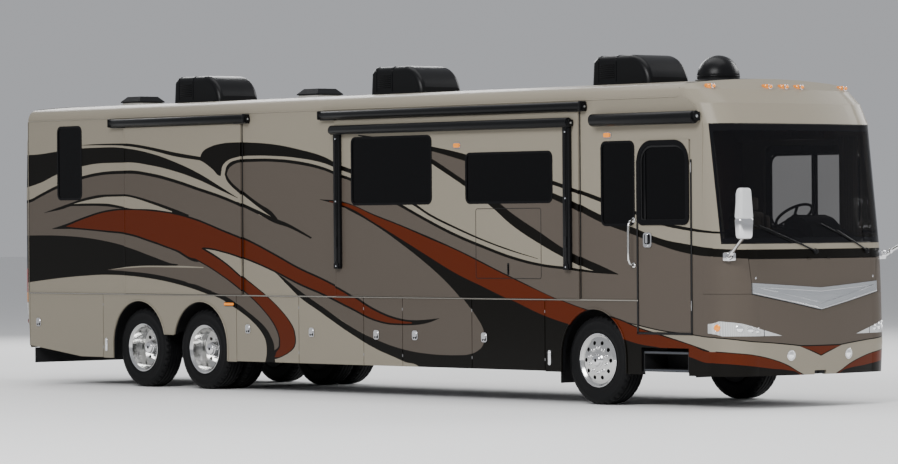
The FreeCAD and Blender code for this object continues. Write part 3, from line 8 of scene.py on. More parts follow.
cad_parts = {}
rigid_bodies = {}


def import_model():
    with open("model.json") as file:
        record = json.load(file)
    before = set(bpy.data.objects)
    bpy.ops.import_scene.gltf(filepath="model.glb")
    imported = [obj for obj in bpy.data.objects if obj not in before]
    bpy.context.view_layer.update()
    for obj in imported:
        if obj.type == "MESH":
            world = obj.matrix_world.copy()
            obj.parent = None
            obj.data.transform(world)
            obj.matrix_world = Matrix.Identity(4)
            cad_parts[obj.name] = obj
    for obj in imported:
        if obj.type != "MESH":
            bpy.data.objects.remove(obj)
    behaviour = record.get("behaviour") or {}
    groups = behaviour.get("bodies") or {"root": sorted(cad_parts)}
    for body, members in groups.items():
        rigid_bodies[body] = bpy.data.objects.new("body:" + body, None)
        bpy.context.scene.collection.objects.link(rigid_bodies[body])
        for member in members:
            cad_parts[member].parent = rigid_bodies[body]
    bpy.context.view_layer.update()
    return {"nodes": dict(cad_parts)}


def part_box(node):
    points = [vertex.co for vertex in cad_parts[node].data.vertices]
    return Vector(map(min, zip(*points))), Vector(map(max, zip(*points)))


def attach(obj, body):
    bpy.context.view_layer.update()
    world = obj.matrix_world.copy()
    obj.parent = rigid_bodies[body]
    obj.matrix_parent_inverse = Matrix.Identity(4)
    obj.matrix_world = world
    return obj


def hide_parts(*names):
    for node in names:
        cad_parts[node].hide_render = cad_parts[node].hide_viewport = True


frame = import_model()

# ------------------------------------------------------------------ driving dimensions, metres
WALL_FACE, FASCIA_FACE = 1.295, 1.323
LINED_FROM = WALL_FACE - 0.012
BELT = 1.200
CROWN = 3.690
NOSE_SEAM, TAIL_SEAM = 6.160, -6.750
RIGHT, LEFT = -1, 1
SIDES = (("right", RIGHT), ("left", LEFT))
WHEEL_RADIUS = 0.508
AXLES = {"front": 4.360, "drive": -3.010, "tag": -4.310}
WHEELS = [(place, name, side) for place in AXLES for name, side in SIDES]
WHEEL_PLANE, DUAL_PITCH = 1.087, 0.342
TREAD_STEPS = 108
# the drive and tag hubs sit deeper in their rims than the front ones: nut covers, cap windows, drums
NUTS_DEEPER, WINDOW_DEEPER, DRUM_DEEPER = 0.243, 0.117, 0.165
# plane of the near-black ring painted in as shade inside the rim barrels
SHADE_RING_PLANE = 0.947
ART_HEIGHT, ART_LENGTH = (0.0, 4.0), (-7.0, 7.0)
MERGE_WITHIN = 0.00005


# ------------------------------------------------------------------ camera and studio
def set_camera():
    """The view solved from the wheels' size and the body's width."""
    yaw, pitch, roll = math.radians(139.33), math.radians(-0.123), math.radians(0.427)
    bpy.ops.object.camera_add(location=(40.78, -34.75, 2.09))
    camera = bpy.context.object
    level = Euler((math.pi / 2 + pitch, 0, yaw - math.pi / 2)).to_quaternion()
    camera.rotation_euler = (level @ Quaternion((0, 0, 1), -roll)).to_euler()
    camera.data.lens = 173.9
    camera.data.sensor_width = 36
    camera.data.clip_end = 300
    bpy.context.scene.camera = camera


def area_light(name, place, aim, size, power, mirrored=True):
    bpy.ops.object.light_add(type="AREA", location=place)
    lamp = bpy.context.object
    lamp.name = name
    lamp.data.shape = "RECTANGLE"
    lamp.data.size, lamp.data.size_y = size
    lamp.data.energy = power
    lamp.visible_glossy = mirrored
    lamp.rotation_euler = (Vector(aim) - Vector(place)).to_track_quat("-Z", "Y").to_euler()


def set_studio():
    bpy.ops.mesh.primitive_plane_add(size=400, location=(0, 0, 0))
    floor = bpy.context.object
    floor.name = "studio_floor"
    floor.data.materials.append(finish("floor_grey", (0.86, 0.86, 0.855), 0.85, grain=0.01))
    world = bpy.data.worlds.new("studio")
    bpy.context.scene.world = world
    world.use_nodes = True
    back = world.node_tree.nodes["Background"]
    back.inputs["Color"].default_value = (0.93, 0.95, 1.0, 1)
    back.inputs["Strength"].default_value = 0.45
    area_light("key", (13, -24, 17), (0, -1, 1.5), (16, 10), 7300)
    area_light("nose_fill", (26, 3, 9), (6, 0, 1.8), (10, 8), 1900, mirrored=False)
    area_light("tail_fill", (-22, 12, 12), (-4, 0, 2), (14, 10), 2400)
    area_light("left_fill", (4, 24, 14), (0, 1, 1.5), (16, 10), 3600)
    area_light("top", (0, 0, 18), (0, 0, 0), (22, 10), 1800)


# ------------------------------------------------------------------ finishes
def new_surface(name):
    made = bpy.data.materials.new(name)
    made.use_nodes = True
    return made, made.node_tree, made.node_tree.nodes["Principled BSDF"]


def add_noise(tree, scale, detail=2.0):
    """Noise that stays with the piece, in its own coordinates."""
    place = tree.nodes.new("ShaderNodeTexCoord")
    noise = tree.nodes.new("ShaderNodeTexNoise")
    noise.inputs["Scale"].default_value = scale
    noise.inputs["Detail"].default_value = detail
    tree.links.new(place.outputs["Object"], noise.inputs["Vector"])
    return noise


def blend(tree, factor, under, over, kind="MIX"):
    """Two colours, sockets or plain tones, mixed by a socket or a number."""
    mix = tree.nodes.new("ShaderNodeMix")
    mix.data_type = "RGBA"
    mix.blend_type = kind
    for name, value in (("Factor", factor), ("A", under), ("B", over)):
        if isinstance(value, tuple):
            mix.inputs[name].default_value = (*value, 1)
        elif isinstance(value, float):
            mix.inputs[name].default_value = value
        else:
            tree.links.new(value, mix.inputs[name])
    return mix.outputs["Result"]


def finish(name, colour, rough, metal=0.0, coat=0.0, grain=0.04, scale=3.0, gloss=0.5, bump=0.0,
        bump_scale=60, glow=0.0):
    """A surface whose colour and roughness drift gently, with an optional fine relief."""
    made, tree, shader = new_surface(name)
    noise = add_noise(tree, scale, 4)
    spread = tree.nodes.new("ShaderNodeMapRange")
    spread.inputs["To Min"].default_value = max(rough - 0.05, 0.02)
    spread.inputs["To Max"].default_value = min(rough + 0.05, 1)
    tree.links.new(noise.outputs["Fac"], spread.inputs["Value"])
    tree.links.new(spread.outputs["Result"], shader.inputs["Roughness"])
    dim = tuple(tone * (1 - grain) for tone in colour)
    bright = tuple(min(tone * (1 + grain), 1) for tone in colour)
    tone = blend(tree, noise.outputs["Fac"], dim, bright)
    tree.links.new(tone, shader.inputs["Base Color"])
    for key, value in (("Metallic", metal), ("Specular IOR Level", gloss), ("Coat Weight", coat),
                       ("Coat Roughness", 0.04)):
        shader.inputs[key].default_value = value
    if glow:
        tree.links.new(tone, shader.inputs["Emission Color"])
        shader.inputs["Emission Strength"].default_value = glow
    if bump:
        relief = tree.nodes.new("ShaderNodeBump")
        relief.inputs["Strength"].default_value = bump
        relief.inputs["Distance"].default_value = 0.002
        tree.links.new(add_noise(tree, bump_scale).outputs["Fac"], relief.inputs["Height"])
        tree.links.new(relief.outputs["Normal"], shader.inputs["Normal"])
    return made


CHAMPAGNE = (0.264, 0.237, 0.186)
TAUPE = (0.094, 0.078, 0.064)
ESPRESSO = (0.0024, 0.0018, 0.0008)
RUST = (0.088, 0.0125, 0.0011)
LINING = (0.42, 0.36, 0.28)

# Side artwork: a tone, the axis its rows run along ("x" or "z"), and rows of (place on it, lower edge,
# upper edge), laid over each other in this order.
ARTWORK = (
    # rear sweep: outline, then the taupe field under it
    (ESPRESSO, "x", ((-7, 1.32, 2.42), (-6.7, 1.34, 2.445), (-6.5, 1.36, 2.505), (-6.08, 1.395, 2.625),
        (-5.57, 1.425, 2.73), (-5, 1.445, 2.79), (-4.5, 1.435, 2.797), (-4, 1.4, 2.755), (-3.5, 1.34, 2.67),
        (-3, 1.25, 2.56), (-2.5, 1.13, 2.45), (-2.13, 1, 2.35), (-1.8, 0.95, 2.26))),
    (TAUPE, "x", ((-7, 1.32, 2.385), (-6.7, 1.34, 2.405), (-6.5, 1.36, 2.465), (-6.08, 1.395, 2.583),
        (-5.57, 1.425, 2.69), (-5, 1.445, 2.75), (-4.5, 1.435, 2.755), (-4, 1.42, 2.713),
        (-3.5, 1.38, 2.628), (-3, 1.3, 2.52), (-2.5, 1.18, 2.41), (-2.13, 1.07, 2.31), (-1.8, 1, 2.21),
        (-1.5, 1, 2.12), (-1.2, 1.25, 2.03), (-0.9, 1.35, 1.93))),
    # upper dark band at the tail
    (ESPRESSO, "x", ((-7, 2.57, 3.03), (-6.5, 2.655, 3.04), (-6.08, 2.77, 3.07), (-5.57, 2.86, 3.1),
        (-5, 2.9, 3.105), (-4.5, 2.9, 3.08), (-4, 2.855, 3.01), (-3.5, 2.775, 2.895), (-3, 2.66, 2.745),
        (-2.5, 2.51, 2.55), (-2.18, 2.415, 2.42))),
    (ESPRESSO, "x", ((-5.6, 3.139, 3.141), (-5.2, 3.135, 3.152), (-4.5, 3.11, 3.145), (-4, 3.05, 3.09),
        (-3.5, 2.965, 3.015), (-2.93, 2.9, 2.945))),
    # hooked band over the bedroom, running on across the front slide-out
    (ESPRESSO, "x", ((-2.95, 2.9, 2.94), (-2.9, 2.885, 3.01), (-2.7, 2.79, 3.08), (-2.53, 2.7, 3.105),
        (-2.5, 2.81, 3.108), (-2.4, 2.885, 3.115), (-2.2, 2.93, 3.117), (-2, 2.945, 3.112),
        (-1.5, 2.935, 3.08), (-1, 2.9, 3.01), (-0.5, 2.83, 2.91), (-0.25, 2.765, 2.825),
        (0.07, 2.69, 2.745), (0.6, 2.52, 2.57), (1.25, 2.29, 2.325), (1.5, 2.18, 2.21), (2, 2.015, 2.04),
        (2.5, 1.87, 1.89), (3, 1.75, 1.765), (3.45, 1.663, 1.668))),
    (ESPRESSO, "x", ((-2.445, 2.715, 2.725), (-2.42, 2.66, 2.8), (-2.35, 2.595, 2.86), (-2.2, 2.505, 2.895),
        (-2, 2.4, 2.907), (-1.8, 2.3, 2.907), (-1.5, 2.165, 2.9), (-1, 1.99, 2.862), (-0.5, 1.9, 2.78),
        (-0.25, 1.9, 2.712), (0.07, 1.9, 2.638), (0.5, 1.9, 2.495), (0.95, 1.8, 2.335), (1.5, 1.7, 2.13),
        (2, 1.6, 1.96), (2.5, 1.55, 1.82), (3, 1.4, 1.695), (3.5, 1.3, 1.61), (4, 1.2, 1.567),
        (4.3, 1.2, 1.535), (4.75, 1.2, 1.5))),
    (TAUPE, "x", ((-2.4, 2.715, 2.725), (-2.37, 2.675, 2.78), (-2.3, 2.615, 2.825), (-2.2, 2.555, 2.855),
        (-2, 2.45, 2.868), (-1.8, 2.355, 2.868), (-1.5, 2.22, 2.862), (-1, 1.6, 2.822), (-0.5, 1.3, 2.742),
        (-0.25, 1.2, 2.675), (0.07, 1.2, 2.6), (0.5, 1.2, 2.455), (0.95, 1.2, 2.297), (1.5, 1.2, 2.092),
        (2, 1.2, 1.923), (2.5, 1.2, 1.783), (3, 1.1, 1.66), (3.5, 1, 1.578), (4, 1, 1.537),
        (4.3, 0.95, 1.51), (4.75, 0.9, 1.49), (4.87, 0.9, 1.485))),
    (ESPRESSO, "x", ((-2.2, 2.34, 2.375), (-1.8, 2.215, 2.26), (-1.5, 2.11, 2.17), (-1.2, 2.045, 2.09),
        (-1, 1.985, 2.02), (-0.7, 1.885, 1.905), (-0.38, 1.785, 1.79))),
    # sweep behind the long windows
    (TAUPE, "x", ((1.2, 2.97, 3), (1.55, 2.83, 2.96), (2.2, 2.53, 2.83), (2.65, 2.31, 2.65),
        (3, 2.12, 2.55), (3.5, 1.895, 2.44), (3.88, 1.735, 2.33), (4.2, 1.63, 2.22), (4.5, 1.55, 2.11),
        (4.75, 1.48, 2.04), (4.8, 1, 2.03), (5.05, 0.9, 1.96), (5.5, 0.8, 1.84), (5.9, 0.7, 1.75),
        (6.3, 0.66, 1.69), (6.9, 0.6, 1.66))),
    (ESPRESSO, "x", ((0.2, 3.15, 3.165), (0.9, 3.05, 3.09), (1.55, 2.945, 3), (2.2, 2.81, 2.89),
        (2.9, 2.66, 2.72), (3.69, 2.52, 2.57), (4, 2.445, 2.49), (4.5, 2.31, 2.36), (5.07, 2.165, 2.205),
        (5.5, 2.045, 2.08), (5.9, 1.985, 2.02), (6.3, 1.95, 1.975), (6.9, 1.935, 1.958))),
    (ESPRESSO, "x", ((2.2, 2.79, 2.83), (2.9, 2.58, 2.66), (3.69, 2.36, 2.43), (4, 2.26, 2.34),
        (4.5, 2.08, 2.165), (5.05, 1.935, 2.015), (5.5, 1.81, 1.89), (5.9, 1.73, 1.832),
        (6.3, 1.692, 1.788), (6.9, 1.69, 1.785))),
    (ESPRESSO, "x", ((1.3, 2.92, 2.95), (1.55, 2.8, 2.86), (2.2, 2.5, 2.57), (2.65, 2.265, 2.385),
        (3, 2.055, 2.195), (3.5, 1.83, 1.965), (3.88, 1.685, 1.79), (4.2, 1.575, 1.675),
        (4.5, 1.505, 1.585), (4.78, 1.488, 1.495))),
    # dark foot and the long taupe loop
    (ESPRESSO, "x", ((-1.62, 1.565, 1.57), (-1.3, 1.375, 1.42), (-1, 1.19, 1.27), (-0.5, 0.965, 1.05),
        (0, 0.75, 0.835), (0.5, 0.565, 0.68), (0.8, 0.485, 0.62), (1, 0.43, 0.575), (1.3, 0.36, 0.54),
        (1.35, 0.3, 0.535))),
    (ESPRESSO, "x", ((-0.4, 2.36, 2.37), (0, 2.24, 2.3), (0.5, 1.6, 2.1), (1, 0.5, 1.9), (1.3, 0.36, 1.78),
        (1.5, 0.2, 1.7), (2, 0.2, 1.5), (2.5, 0.2, 1.34), (3, 0.2, 1.18), (3.5, 0.2, 1.02),
        (3.87, 0.2, 0.94), (4.3, 0.2, 0.86), (4.85, 0.2, 0.77), (5.1, 0.2, 0.715), (5.5, 0.2, 0.67),
        (5.96, 0.2, 0.58), (6.25, 0.2, 0.53), (6.9, 0.2, 0.5))),
    # light wedge over the rust at the entry door
    (ESPRESSO, "x", ((4.6, 0.99, 1), (5.1, 0.88, 0.925), (5.5, 0.8, 0.868), (5.96, 0.69, 0.832),
        (6.25, 0.64, 0.806), (6.9, 0.64, 0.8))),
    (CHAMPAGNE, "x", ((4.65, 0.985, 0.99), (5.1, 0.885, 0.912), (5.5, 0.805, 0.855), (5.96, 0.7, 0.82),
        (6.25, 0.64, 0.794), (6.9, 0.64, 0.79))),
    (TAUPE, "x", ((-1.5, 1.5, 1.56), (-1.3, 1.42, 1.7), (-1, 1.27, 1.8), (-0.5, 1.05, 2.05),
        (-0.1, 0.875, 2.285), (0, 0.835, 2.255), (0.5, 0.68, 2.07), (1, 0.575, 1.84), (1.5, 0.528, 1.58),
        (1.8, 0.522, 1.4), (2, 0.525, 1.26), (2.2, 0.54, 1.1), (2.35, 0.585, 0.96), (2.44, 0.65, 0.85),
        (2.48, 0.75, 0.76))),
    (ESPRESSO, "x", ((-0.58, 2.384, 2.388), (-0.1, 2.29, 2.355), (0.5, 2.08, 2.195), (1, 1.88, 2.065),
        (2, 1.48, 1.78), (3, 1.16, 1.45), (4, 0.9, 1.145), (4.8, 0.76, 0.985), (5.1, 0.7, 0.9),
        (5.5, 0.655, 0.815), (5.96, 0.56, 0.715), (6.25, 0.505, 0.648))),
    (RUST, "x", ((-0.4, 2.358, 2.366), (0, 2.285, 2.325), (0.5, 2.095, 2.18), (1, 1.895, 2.05),
        (1.5, 1.69, 1.905), (2, 1.49, 1.765), (2.5, 1.33, 1.6), (3, 1.17, 1.435), (3.5, 1.015, 1.28),
        (3.87, 0.93, 1.17), (4.2, 0.87, 1.09), (4.8, 0.77, 0.97), (5.1, 0.71, 0.885), (5.5, 0.665, 0.8),
        (5.96, 0.57, 0.705), (6.25, 0.515, 0.638), (6.9, 0.515, 0.638))),
    # tail: dark band, its wedge and the curl beneath
    (ESPRESSO, "x", ((-7, 1.32, 1.96), (-6.5, 1.36, 1.962), (-6, 1.4, 1.955), (-5.5, 1.43, 1.93),
        (-5, 1.445, 1.88), (-4.5, 1.435, 1.8), (-4, 1.4, 1.69), (-3.6, 1.36, 1.6), (-3.38, 1.33, 1.562),
        (-3.36, 1.325, 1.42), (-3, 1.25, 1.315), (-2.5, 1.125, 1.19), (-2.2, 1, 1.075))),
    (TAUPE, "x", ((-4.98, 1.508, 1.512), (-4.5, 1.49, 1.54), (-4, 1.46, 1.555), (-3.5, 1.4, 1.562),
        (-3.3, 1.37, 1.6), (-3, 1.315, 1.6), (-2.5, 1.19, 1.4), (-2.2, 1.075, 1.2))),
    (CHAMPAGNE, "x", ((-4.9, 1.515, 1.518), (-4.5, 1.535, 1.55), (-4, 1.548, 1.566), (-3.5, 1.545, 1.566),
        (-2.9, 1.54, 1.552))),
    (CHAMPAGNE, "z", ((0.3, -2.3, 2), (0.36, -2.3, 1.3), (0.43, -2.3, 1), (0.485, -2.3, 0.8),
        (0.565, -2.3, 0.5), (0.75, -2.3, 0), (0.965, -2.3, -0.5), (1, -2.3, -0.58))),
    (CHAMPAGNE, "x", ((-2.3, 0.9, 1.1), (-2, 0.9, 1.2), (-1.5, 0.9, 1.48), (-1.3, 0.9, 1.375),
        (-1, 0.9, 1.19), (-0.5, 0.9, 0.965), (-0.4, 0.9, 0.91))),
    (TAUPE, "z", ((0.43, -1.6, -1.42), (0.53, -1.52, -1.4), (0.62, -1.54, -1.4), (0.75, -1.62, -1.42),
        (0.88, -1.8, -1.52), (0.98, -2, -1.66), (1.075, -2.2, -1.8), (1.19, -2.5, -2),
        (1.25, -2.75, -2.1))),
    (ESPRESSO, "z", ((0.36, -1.69, -1.48), (0.45, -1.66, -1.5), (0.53, -1.655, -1.5), (0.62, -1.67, -1.52),
        (0.68, -1.7, -1.56), (0.78, -1.8, -1.65), (0.88, -1.95, -1.8), (0.98, -2.15, -2),
        (1.075, -2.38, -2.2), (1.13, -2.52, -2.35))),
    # light hole of the fork
    (CHAMPAGNE, "x", ((-2.85, 1.775, 1.78), (-2.5, 1.62, 1.74), (-2, 1.37, 1.64), (-1.7, 1.23, 1.58),
        (-1.5, 1.09, 1.5), (-1.3, 0.98, 1.38))),
    # forked rust sweep: outline, then colour
    (ESPRESSO, "z", ((0.395, -1.68, -1.6), (0.42, -1.6, -1.44), (0.46, -1.56, -1.3), (0.5, -1.545, -1.2),
        (0.55, -1.44, -1.115), (0.6, -1.41, -1.08), (0.65, -1.41, -1.07), (0.7, -1.42, -1.075),
        (0.8, -1.48, -1.11), (0.9, -1.575, -1.2), (1, -1.7, -1.325), (1.1, -1.85, -1.475),
        (1.2, -2.02, -1.645), (1.3, -2.22, -1.84), (1.43, -2.5, -2.1), (1.62, -3, -2.46),
        (1.76, -3.5, -2.8), (1.8, -3.7, -2.92), (1.87, -4, -3))),
    (ESPRESSO, "x", ((-6.22, 2.045, 2.05), (-5.88, 2.045, 2.115), (-5.5, 2.03, 2.2), (-5, 1.998, 2.285),
        (-4.5, 1.96, 2.305), (-4, 1.865, 2.29), (-3.5, 1.755, 2.245), (-3, 1.615, 2.155),
        (-2.9, 1.78, 2.13), (-2.5, 1.735, 2.025), (-2, 1.63, 1.895), (-1.5, 1.495, 1.73),
        (-1, 1.335, 1.555), (-0.5, 1.2, 1.41), (0, 1.045, 1.24), (0.5, 0.9, 1.045), (0.9, 0.865, 0.95),
        (1.2, 0.87, 0.928), (1.45, 0.9, 0.94), (1.66, 0.955, 0.958))),
    (RUST, "z", ((0.435, -1.5, -1.42), (0.46, -1.48, -1.33), (0.5, -1.46, -1.225), (0.55, -1.4, -1.14),
        (0.6, -1.385, -1.1), (0.65, -1.385, -1.09), (0.7, -1.4, -1.095), (0.8, -1.455, -1.13),
        (0.9, -1.55, -1.22), (1, -1.675, -1.345), (1.1, -1.82, -1.495), (1.2, -1.99, -1.67),
        (1.3, -2.18, -1.87), (1.43, -2.46, -2.14), (1.62, -2.95, -2.51), (1.76, -3.42, -2.87),
        (1.8, -3.6, -2.97), (1.87, -3.9, -3))),
    (RUST, "x", ((-5.9, 2.075, 2.08), (-5.5, 2.05, 2.175), (-5, 2.02, 2.262), (-4.5, 1.985, 2.285),
        (-4, 1.89, 2.268), (-3.5, 1.785, 2.222), (-3.05, 1.66, 2.142), (-2.9, 1.8, 2.107), (-2.5, 1.755, 2),
        (-2, 1.652, 1.87), (-1.5, 1.517, 1.705), (-1, 1.36, 1.53), (-0.5, 1.225, 1.385), (0, 1.07, 1.212),
        (0.5, 0.922, 1.018), (0.9, 0.885, 0.925), (1.15, 0.888, 0.902))),
    # light wedge over the rust sweep
    (ESPRESSO, "x", ((-6.4, 2.258, 2.262), (-6, 2.305, 2.345), (-5.75, 2.345, 2.395), (-5.5, 2.345, 2.445),
        (-5, 2.335, 2.49), (-4.6, 2.3, 2.49), (-4.5, 2.295, 2.485), (-4, 2.27, 2.4), (-3.5, 2.225, 2.29),
        (-3.2, 2.19, 2.215))),
    (CHAMPAGNE, "x", ((-5.72, 2.372, 2.376), (-5.5, 2.378, 2.41), (-5, 2.372, 2.46), (-4.6, 2.325, 2.462),
        (-4.45, 2.305, 2.452), (-4, 2.29, 2.365), (-3.55, 2.25, 2.262))),
)

# Front artwork, mirrored: rows of (distance off the centreline, lower z, upper z).
NOSE_ARTWORK = (
    (TAUPE, ((0, 0.6, 1.7), (0.9, 0.6, 1.7), (1.35, 0.7, 1.72))),
    (ESPRESSO, ((0, 1.661, 1.768), (0.6, 1.66, 1.768), (1.12, 1.672, 1.77), (1.25, 1.687, 1.778),
        (1.35, 1.695, 1.795))),
    (ESPRESSO, ((1.18, 1.94, 1.962), (1.35, 1.955, 1.98))),
    (ESPRESSO, ((0, 0.2, 0.695), (0.3, 0.2, 0.697), (0.45, 0.2, 0.712), (0.74, 0.2, 0.738),
        (1.05, 0.2, 0.763), (1.2, 0.2, 0.786), (1.35, 0.2, 0.812))),
    (CHAMPAGNE, ((0, 0.2, 0.682), (0.3, 0.2, 0.684), (0.45, 0.2, 0.699), (0.74, 0.2, 0.726),
        (1.05, 0.2, 0.751), (1.2, 0.2, 0.774), (1.35, 0.2, 0.8))),
    (ESPRESSO, ((0, 0.571, 0.69), (0.15, 0.624, 0.69), (0.345, 0.69, 0.695))),
    (RUST, ((0, 0.583, 0.682), (0.15, 0.636, 0.682), (0.31, 0.678, 0.684))),
    (ESPRESSO, ((0.22, 0.1, 0.348), (0.255, 0.2, 0.37), (0.35, 0.2, 0.412), (0.48, 0.2, 0.475),
        (0.73, 0.2, 0.555), (1, 0.2, 0.608), (1.2, 0.2, 0.632), (1.35, 0.2, 0.655))),
    (RUST, ((0.26, 0.33, 0.36), (0.35, 0.392, 0.402), (0.48, 0.422, 0.465), (0.73, 0.447, 0.546),
        (1, 0.48, 0.599), (1.2, 0.503, 0.623), (1.35, 0.52, 0.645))),
)


def curve_node(tree, rows, column, low, high):
    """A float curve through one column of a row table, scaled to 0-1 both ways."""
    made = tree.nodes.new("ShaderNodeFloatCurve")
    curve = made.mapping.curves[0]
    first, last = rows[0][0], rows[-1][0]
    points = [((row[0] - first) / (last - first), (row[column] - low) / (high - low)) for row in rows]
    while len(curve.points) < len(points):
        curve.points.new(0.5, 0.5)
    for point, place in zip(curve.points, points):
        point.location = place
        point.handle_type = "AUTO_CLAMPED"
    made.mapping.update()
    return made


def math_node(tree, kind, first, second=0.0):
    made = tree.nodes.new("ShaderNodeMath")
    made.operation = kind
    for socket, value in zip(made.inputs, (first, second)):
        if isinstance(value, (int, float)):
            socket.default_value = value
        else:
            tree.links.new(value, socket)
    return made.outputs[0]


def both(tree, first, second):
    """1 where two masks are 1."""
    return math_node(tree, "MULTIPLY", first, second)


def zone(tree, axis, low, high):
    """1 where an object coordinate lies between two values."""
    return both(tree, math_node(tree, "GREATER_THAN", axis, low), math_node(tree, "LESS_THAN", axis, high))


def region_mask(tree, along, across, rows, low, high):
    """1 between the two edges of a row table, 0 outside."""
    share = tree.nodes.new("ShaderNodeMapRange")
    tree.links.new(along, share.inputs["Value"])
    share.inputs["From Min"].default_value = rows[0][0]
    share.inputs["From Max"].default_value = rows[-1][0]
    share.clamp = False
    level = math_node(tree, "DIVIDE", math_node(tree, "SUBTRACT", across, low), high - low)
    edges = []
    for column in (1, 2):
        edge = curve_node(tree, rows, column, low, high)
        tree.links.new(share.outputs["Result"], edge.inputs["Value"])
        edges.append(edge.outputs[0])
    return both(tree, zone(tree, level, *edges), zone(tree, share.outputs["Result"], -0.00001, 1.0))


def coordinates(tree):
    """Where a point is on the vehicle: along, off the centreline, up, and its signed place across."""
    place = tree.nodes.new("ShaderNodeTexCoord")
    split = tree.nodes.new("ShaderNodeSeparateXYZ")
    tree.links.new(place.outputs["Object"], split.inputs[0])
    along, across, up = split.outputs
    return along, math_node(tree, "ABSOLUTE", across), up, across


def body_paint(name, lined=False, nosed=False):
    """Clear-coated metallic paint with the side artwork; lined bodies have a pale lining inside, and painted
    shade, near black, on their inner faces below the belt.
    """
    made, tree, shader = new_surface(name)
    lengthwise, out, up, _ = coordinates(tree)
    along = math_node(tree, "MAXIMUM", lengthwise, TAIL_SEAM - 0.1)
    colour = CHAMPAGNE
    for tone, direction, rows in ARTWORK:
        if direction == "x":
            mask = region_mask(tree, along, up, rows, *ART_HEIGHT)
        else:
            mask = region_mask(tree, up, along, rows, *ART_LENGTH)
        colour = blend(tree, mask, colour, tone)
    inside = math_node(tree, "LESS_THAN", out, LINED_FROM)
    if nosed:
        front = CHAMPAGNE
        for tone, rows in NOSE_ARTWORK:
            front = blend(tree, region_mask(tree, out, up, rows, *ART_HEIGHT), front, tone)
        at_nose = both(tree, inside, math_node(tree, "GREATER_THAN", lengthwise, NOSE_SEAM))
        colour = blend(tree, at_nose, colour, front)
    if lined:
        colour = blend(tree, inside, colour, CHAMPAGNE)
        colour = blend(tree, math_node(tree, "LESS_THAN", out, WALL_FACE - 0.055), colour, LINING)
        # painted shade: inner faces below the belt are coloured near black for the shade in the cavities
        # behind the walls
        shade_below_belt = both(tree, inside, math_node(tree, "LESS_THAN", up, BELT - 0.02))
        colour = blend(tree, shade_below_belt, colour, (0.010, 0.010, 0.011))
    flakes = add_noise(tree, 900, 1)
    colour = blend(tree, 0.12, colour, flakes.outputs["Color"], "MULTIPLY")
    tree.links.new(colour, shader.inputs["Base Color"])
    for key, value in (("Metallic", 0.03), ("Roughness", 0.34), ("Specular IOR Level", 0.10),
                       ("Coat Weight", 0.08), ("Coat Roughness", 0.03)):
        shader.inputs[key].default_value = value
    return made


def repaint(made, recipe, socket="Base Color"):
    """A finish whose colour, or another input, follows a recipe in the vehicle's own coordinates."""
    tree = made.node_tree
    shader = tree.nodes["Principled BSDF"]
    before = shader.inputs["Base Color"].links[0].from_socket
    tree.links.new(recipe(tree, before, *coordinates(tree)), shader.inputs[socket])
    return made


def screen_recipe(tree, before, along, out, up, across):
    """See-through in the middle, opaque in a black border all round."""
    clear = both(tree, zone(tree, out, -1.0, 1.232), zone(tree, up, 1.895, 3.09))
    return math_node(tree, "SUBTRACT", 1.0, math_node(tree, "MULTIPLY", clear, 0.42))


def headlamp_recipe(tree, before, along, out, up, across):
    """A reflector with painted highlights, bright and dim stripes along its flutes, and a dark bezel."""
    # painted highlight: the reflector's tone swings between dim and bright across the flutes
    flute_highlights = math_node(tree, "SINE", math_node(tree, "MULTIPLY", out, 420.0))
    share = math_node(tree, "ADD", math_node(tree, "MULTIPLY", flute_highlights, 0.22), 0.5)
    tone = blend(tree, share, (0.42, 0.43, 0.43), (0.92, 0.92, 0.91))
    return blend(tree, zone(tree, out, 0.830, 0.842), tone, (0.07, 0.075, 0.08))


def lamp_recipe(tree, before, along, out, up, across):
    """Ribbed lens colours: amber ahead; clear, amber and red bands astern; each band with painted
    highlights, dimmer and brighter stripes along the ribs.
    """
    # painted highlight: each lens colour is split into a dim and a bright copy, alternating along the ribs
    ribs = math_node(tree, "ABSOLUTE", math_node(tree, "SINE", math_node(tree, "MULTIPLY", up, 150.0)))
    tone = blend(tree, ribs, (0.16, 0.003, 0.002), (0.42, 0.010, 0.006))
    for low, high, dim, bright in ((1.075, 1.205, (0.50, 0.15, 0.01), (0.85, 0.30, 0.02)),
                                   (0.900, 1.065, (0.50, 0.51, 0.52), (0.85, 0.86, 0.87))):
        tone = blend(tree, zone(tree, up, low, high), tone, blend(tree, ribs, dim, bright))
    for joint in (1.065, 1.205):
        tone = blend(tree, zone(tree, up, joint, joint + 0.010), tone, (0.02, 0.002, 0.002))
    return blend(tree, zone(tree, along, 0.0, 9.0), tone, (0.78, 0.24, 0.015))


def engine_door_recipe(tree, before, along, out, up, across):
    """Body paint with a black field behind the louvres: painted shade for the dark openings of the grille.
    """
    # painted shade: black where the grille's openings would show the shaded compartment behind
    field = both(tree, zone(tree, across, -0.735, 0.735), zone(tree, up, 1.165, 1.510))
    return blend(tree, field, before, (0.006, 0.006, 0.006))


def dress(nodes, material):
    for name in nodes:
        slots = frame["nodes"][name].data.materials
        slots.clear()
        slots.append(material)


# ------------------------------------------------------------------ shaping
def mode(kind):
    bpy.ops.object.mode_set(mode=kind)


def select(action="SELECT"):
    bpy.ops.mesh.select_all(action=action)


def select_kind(kind):
    """Work on corners, edges or faces: 0, 1 or 2."""
    bpy.context.tool_settings.mesh_select_mode = [order == kind for order in range(3)]


def freeze():
    bpy.ops.object.transform_apply(location=True, rotation=True, scale=True)


def fresh():
    bpy.ops.object.select_all(action="DESELECT")


def around(value, half):
    return value - half, value + half


def spread(first, last, steps):
    """Even steps from one value to another, both ends included."""
    return [first + (last - first) * step / steps for step in range(steps + 1)]


def rename(obj, name, body):
    obj.name = name
    obj.data.name = name
    if body:
        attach(obj, body)
    return obj


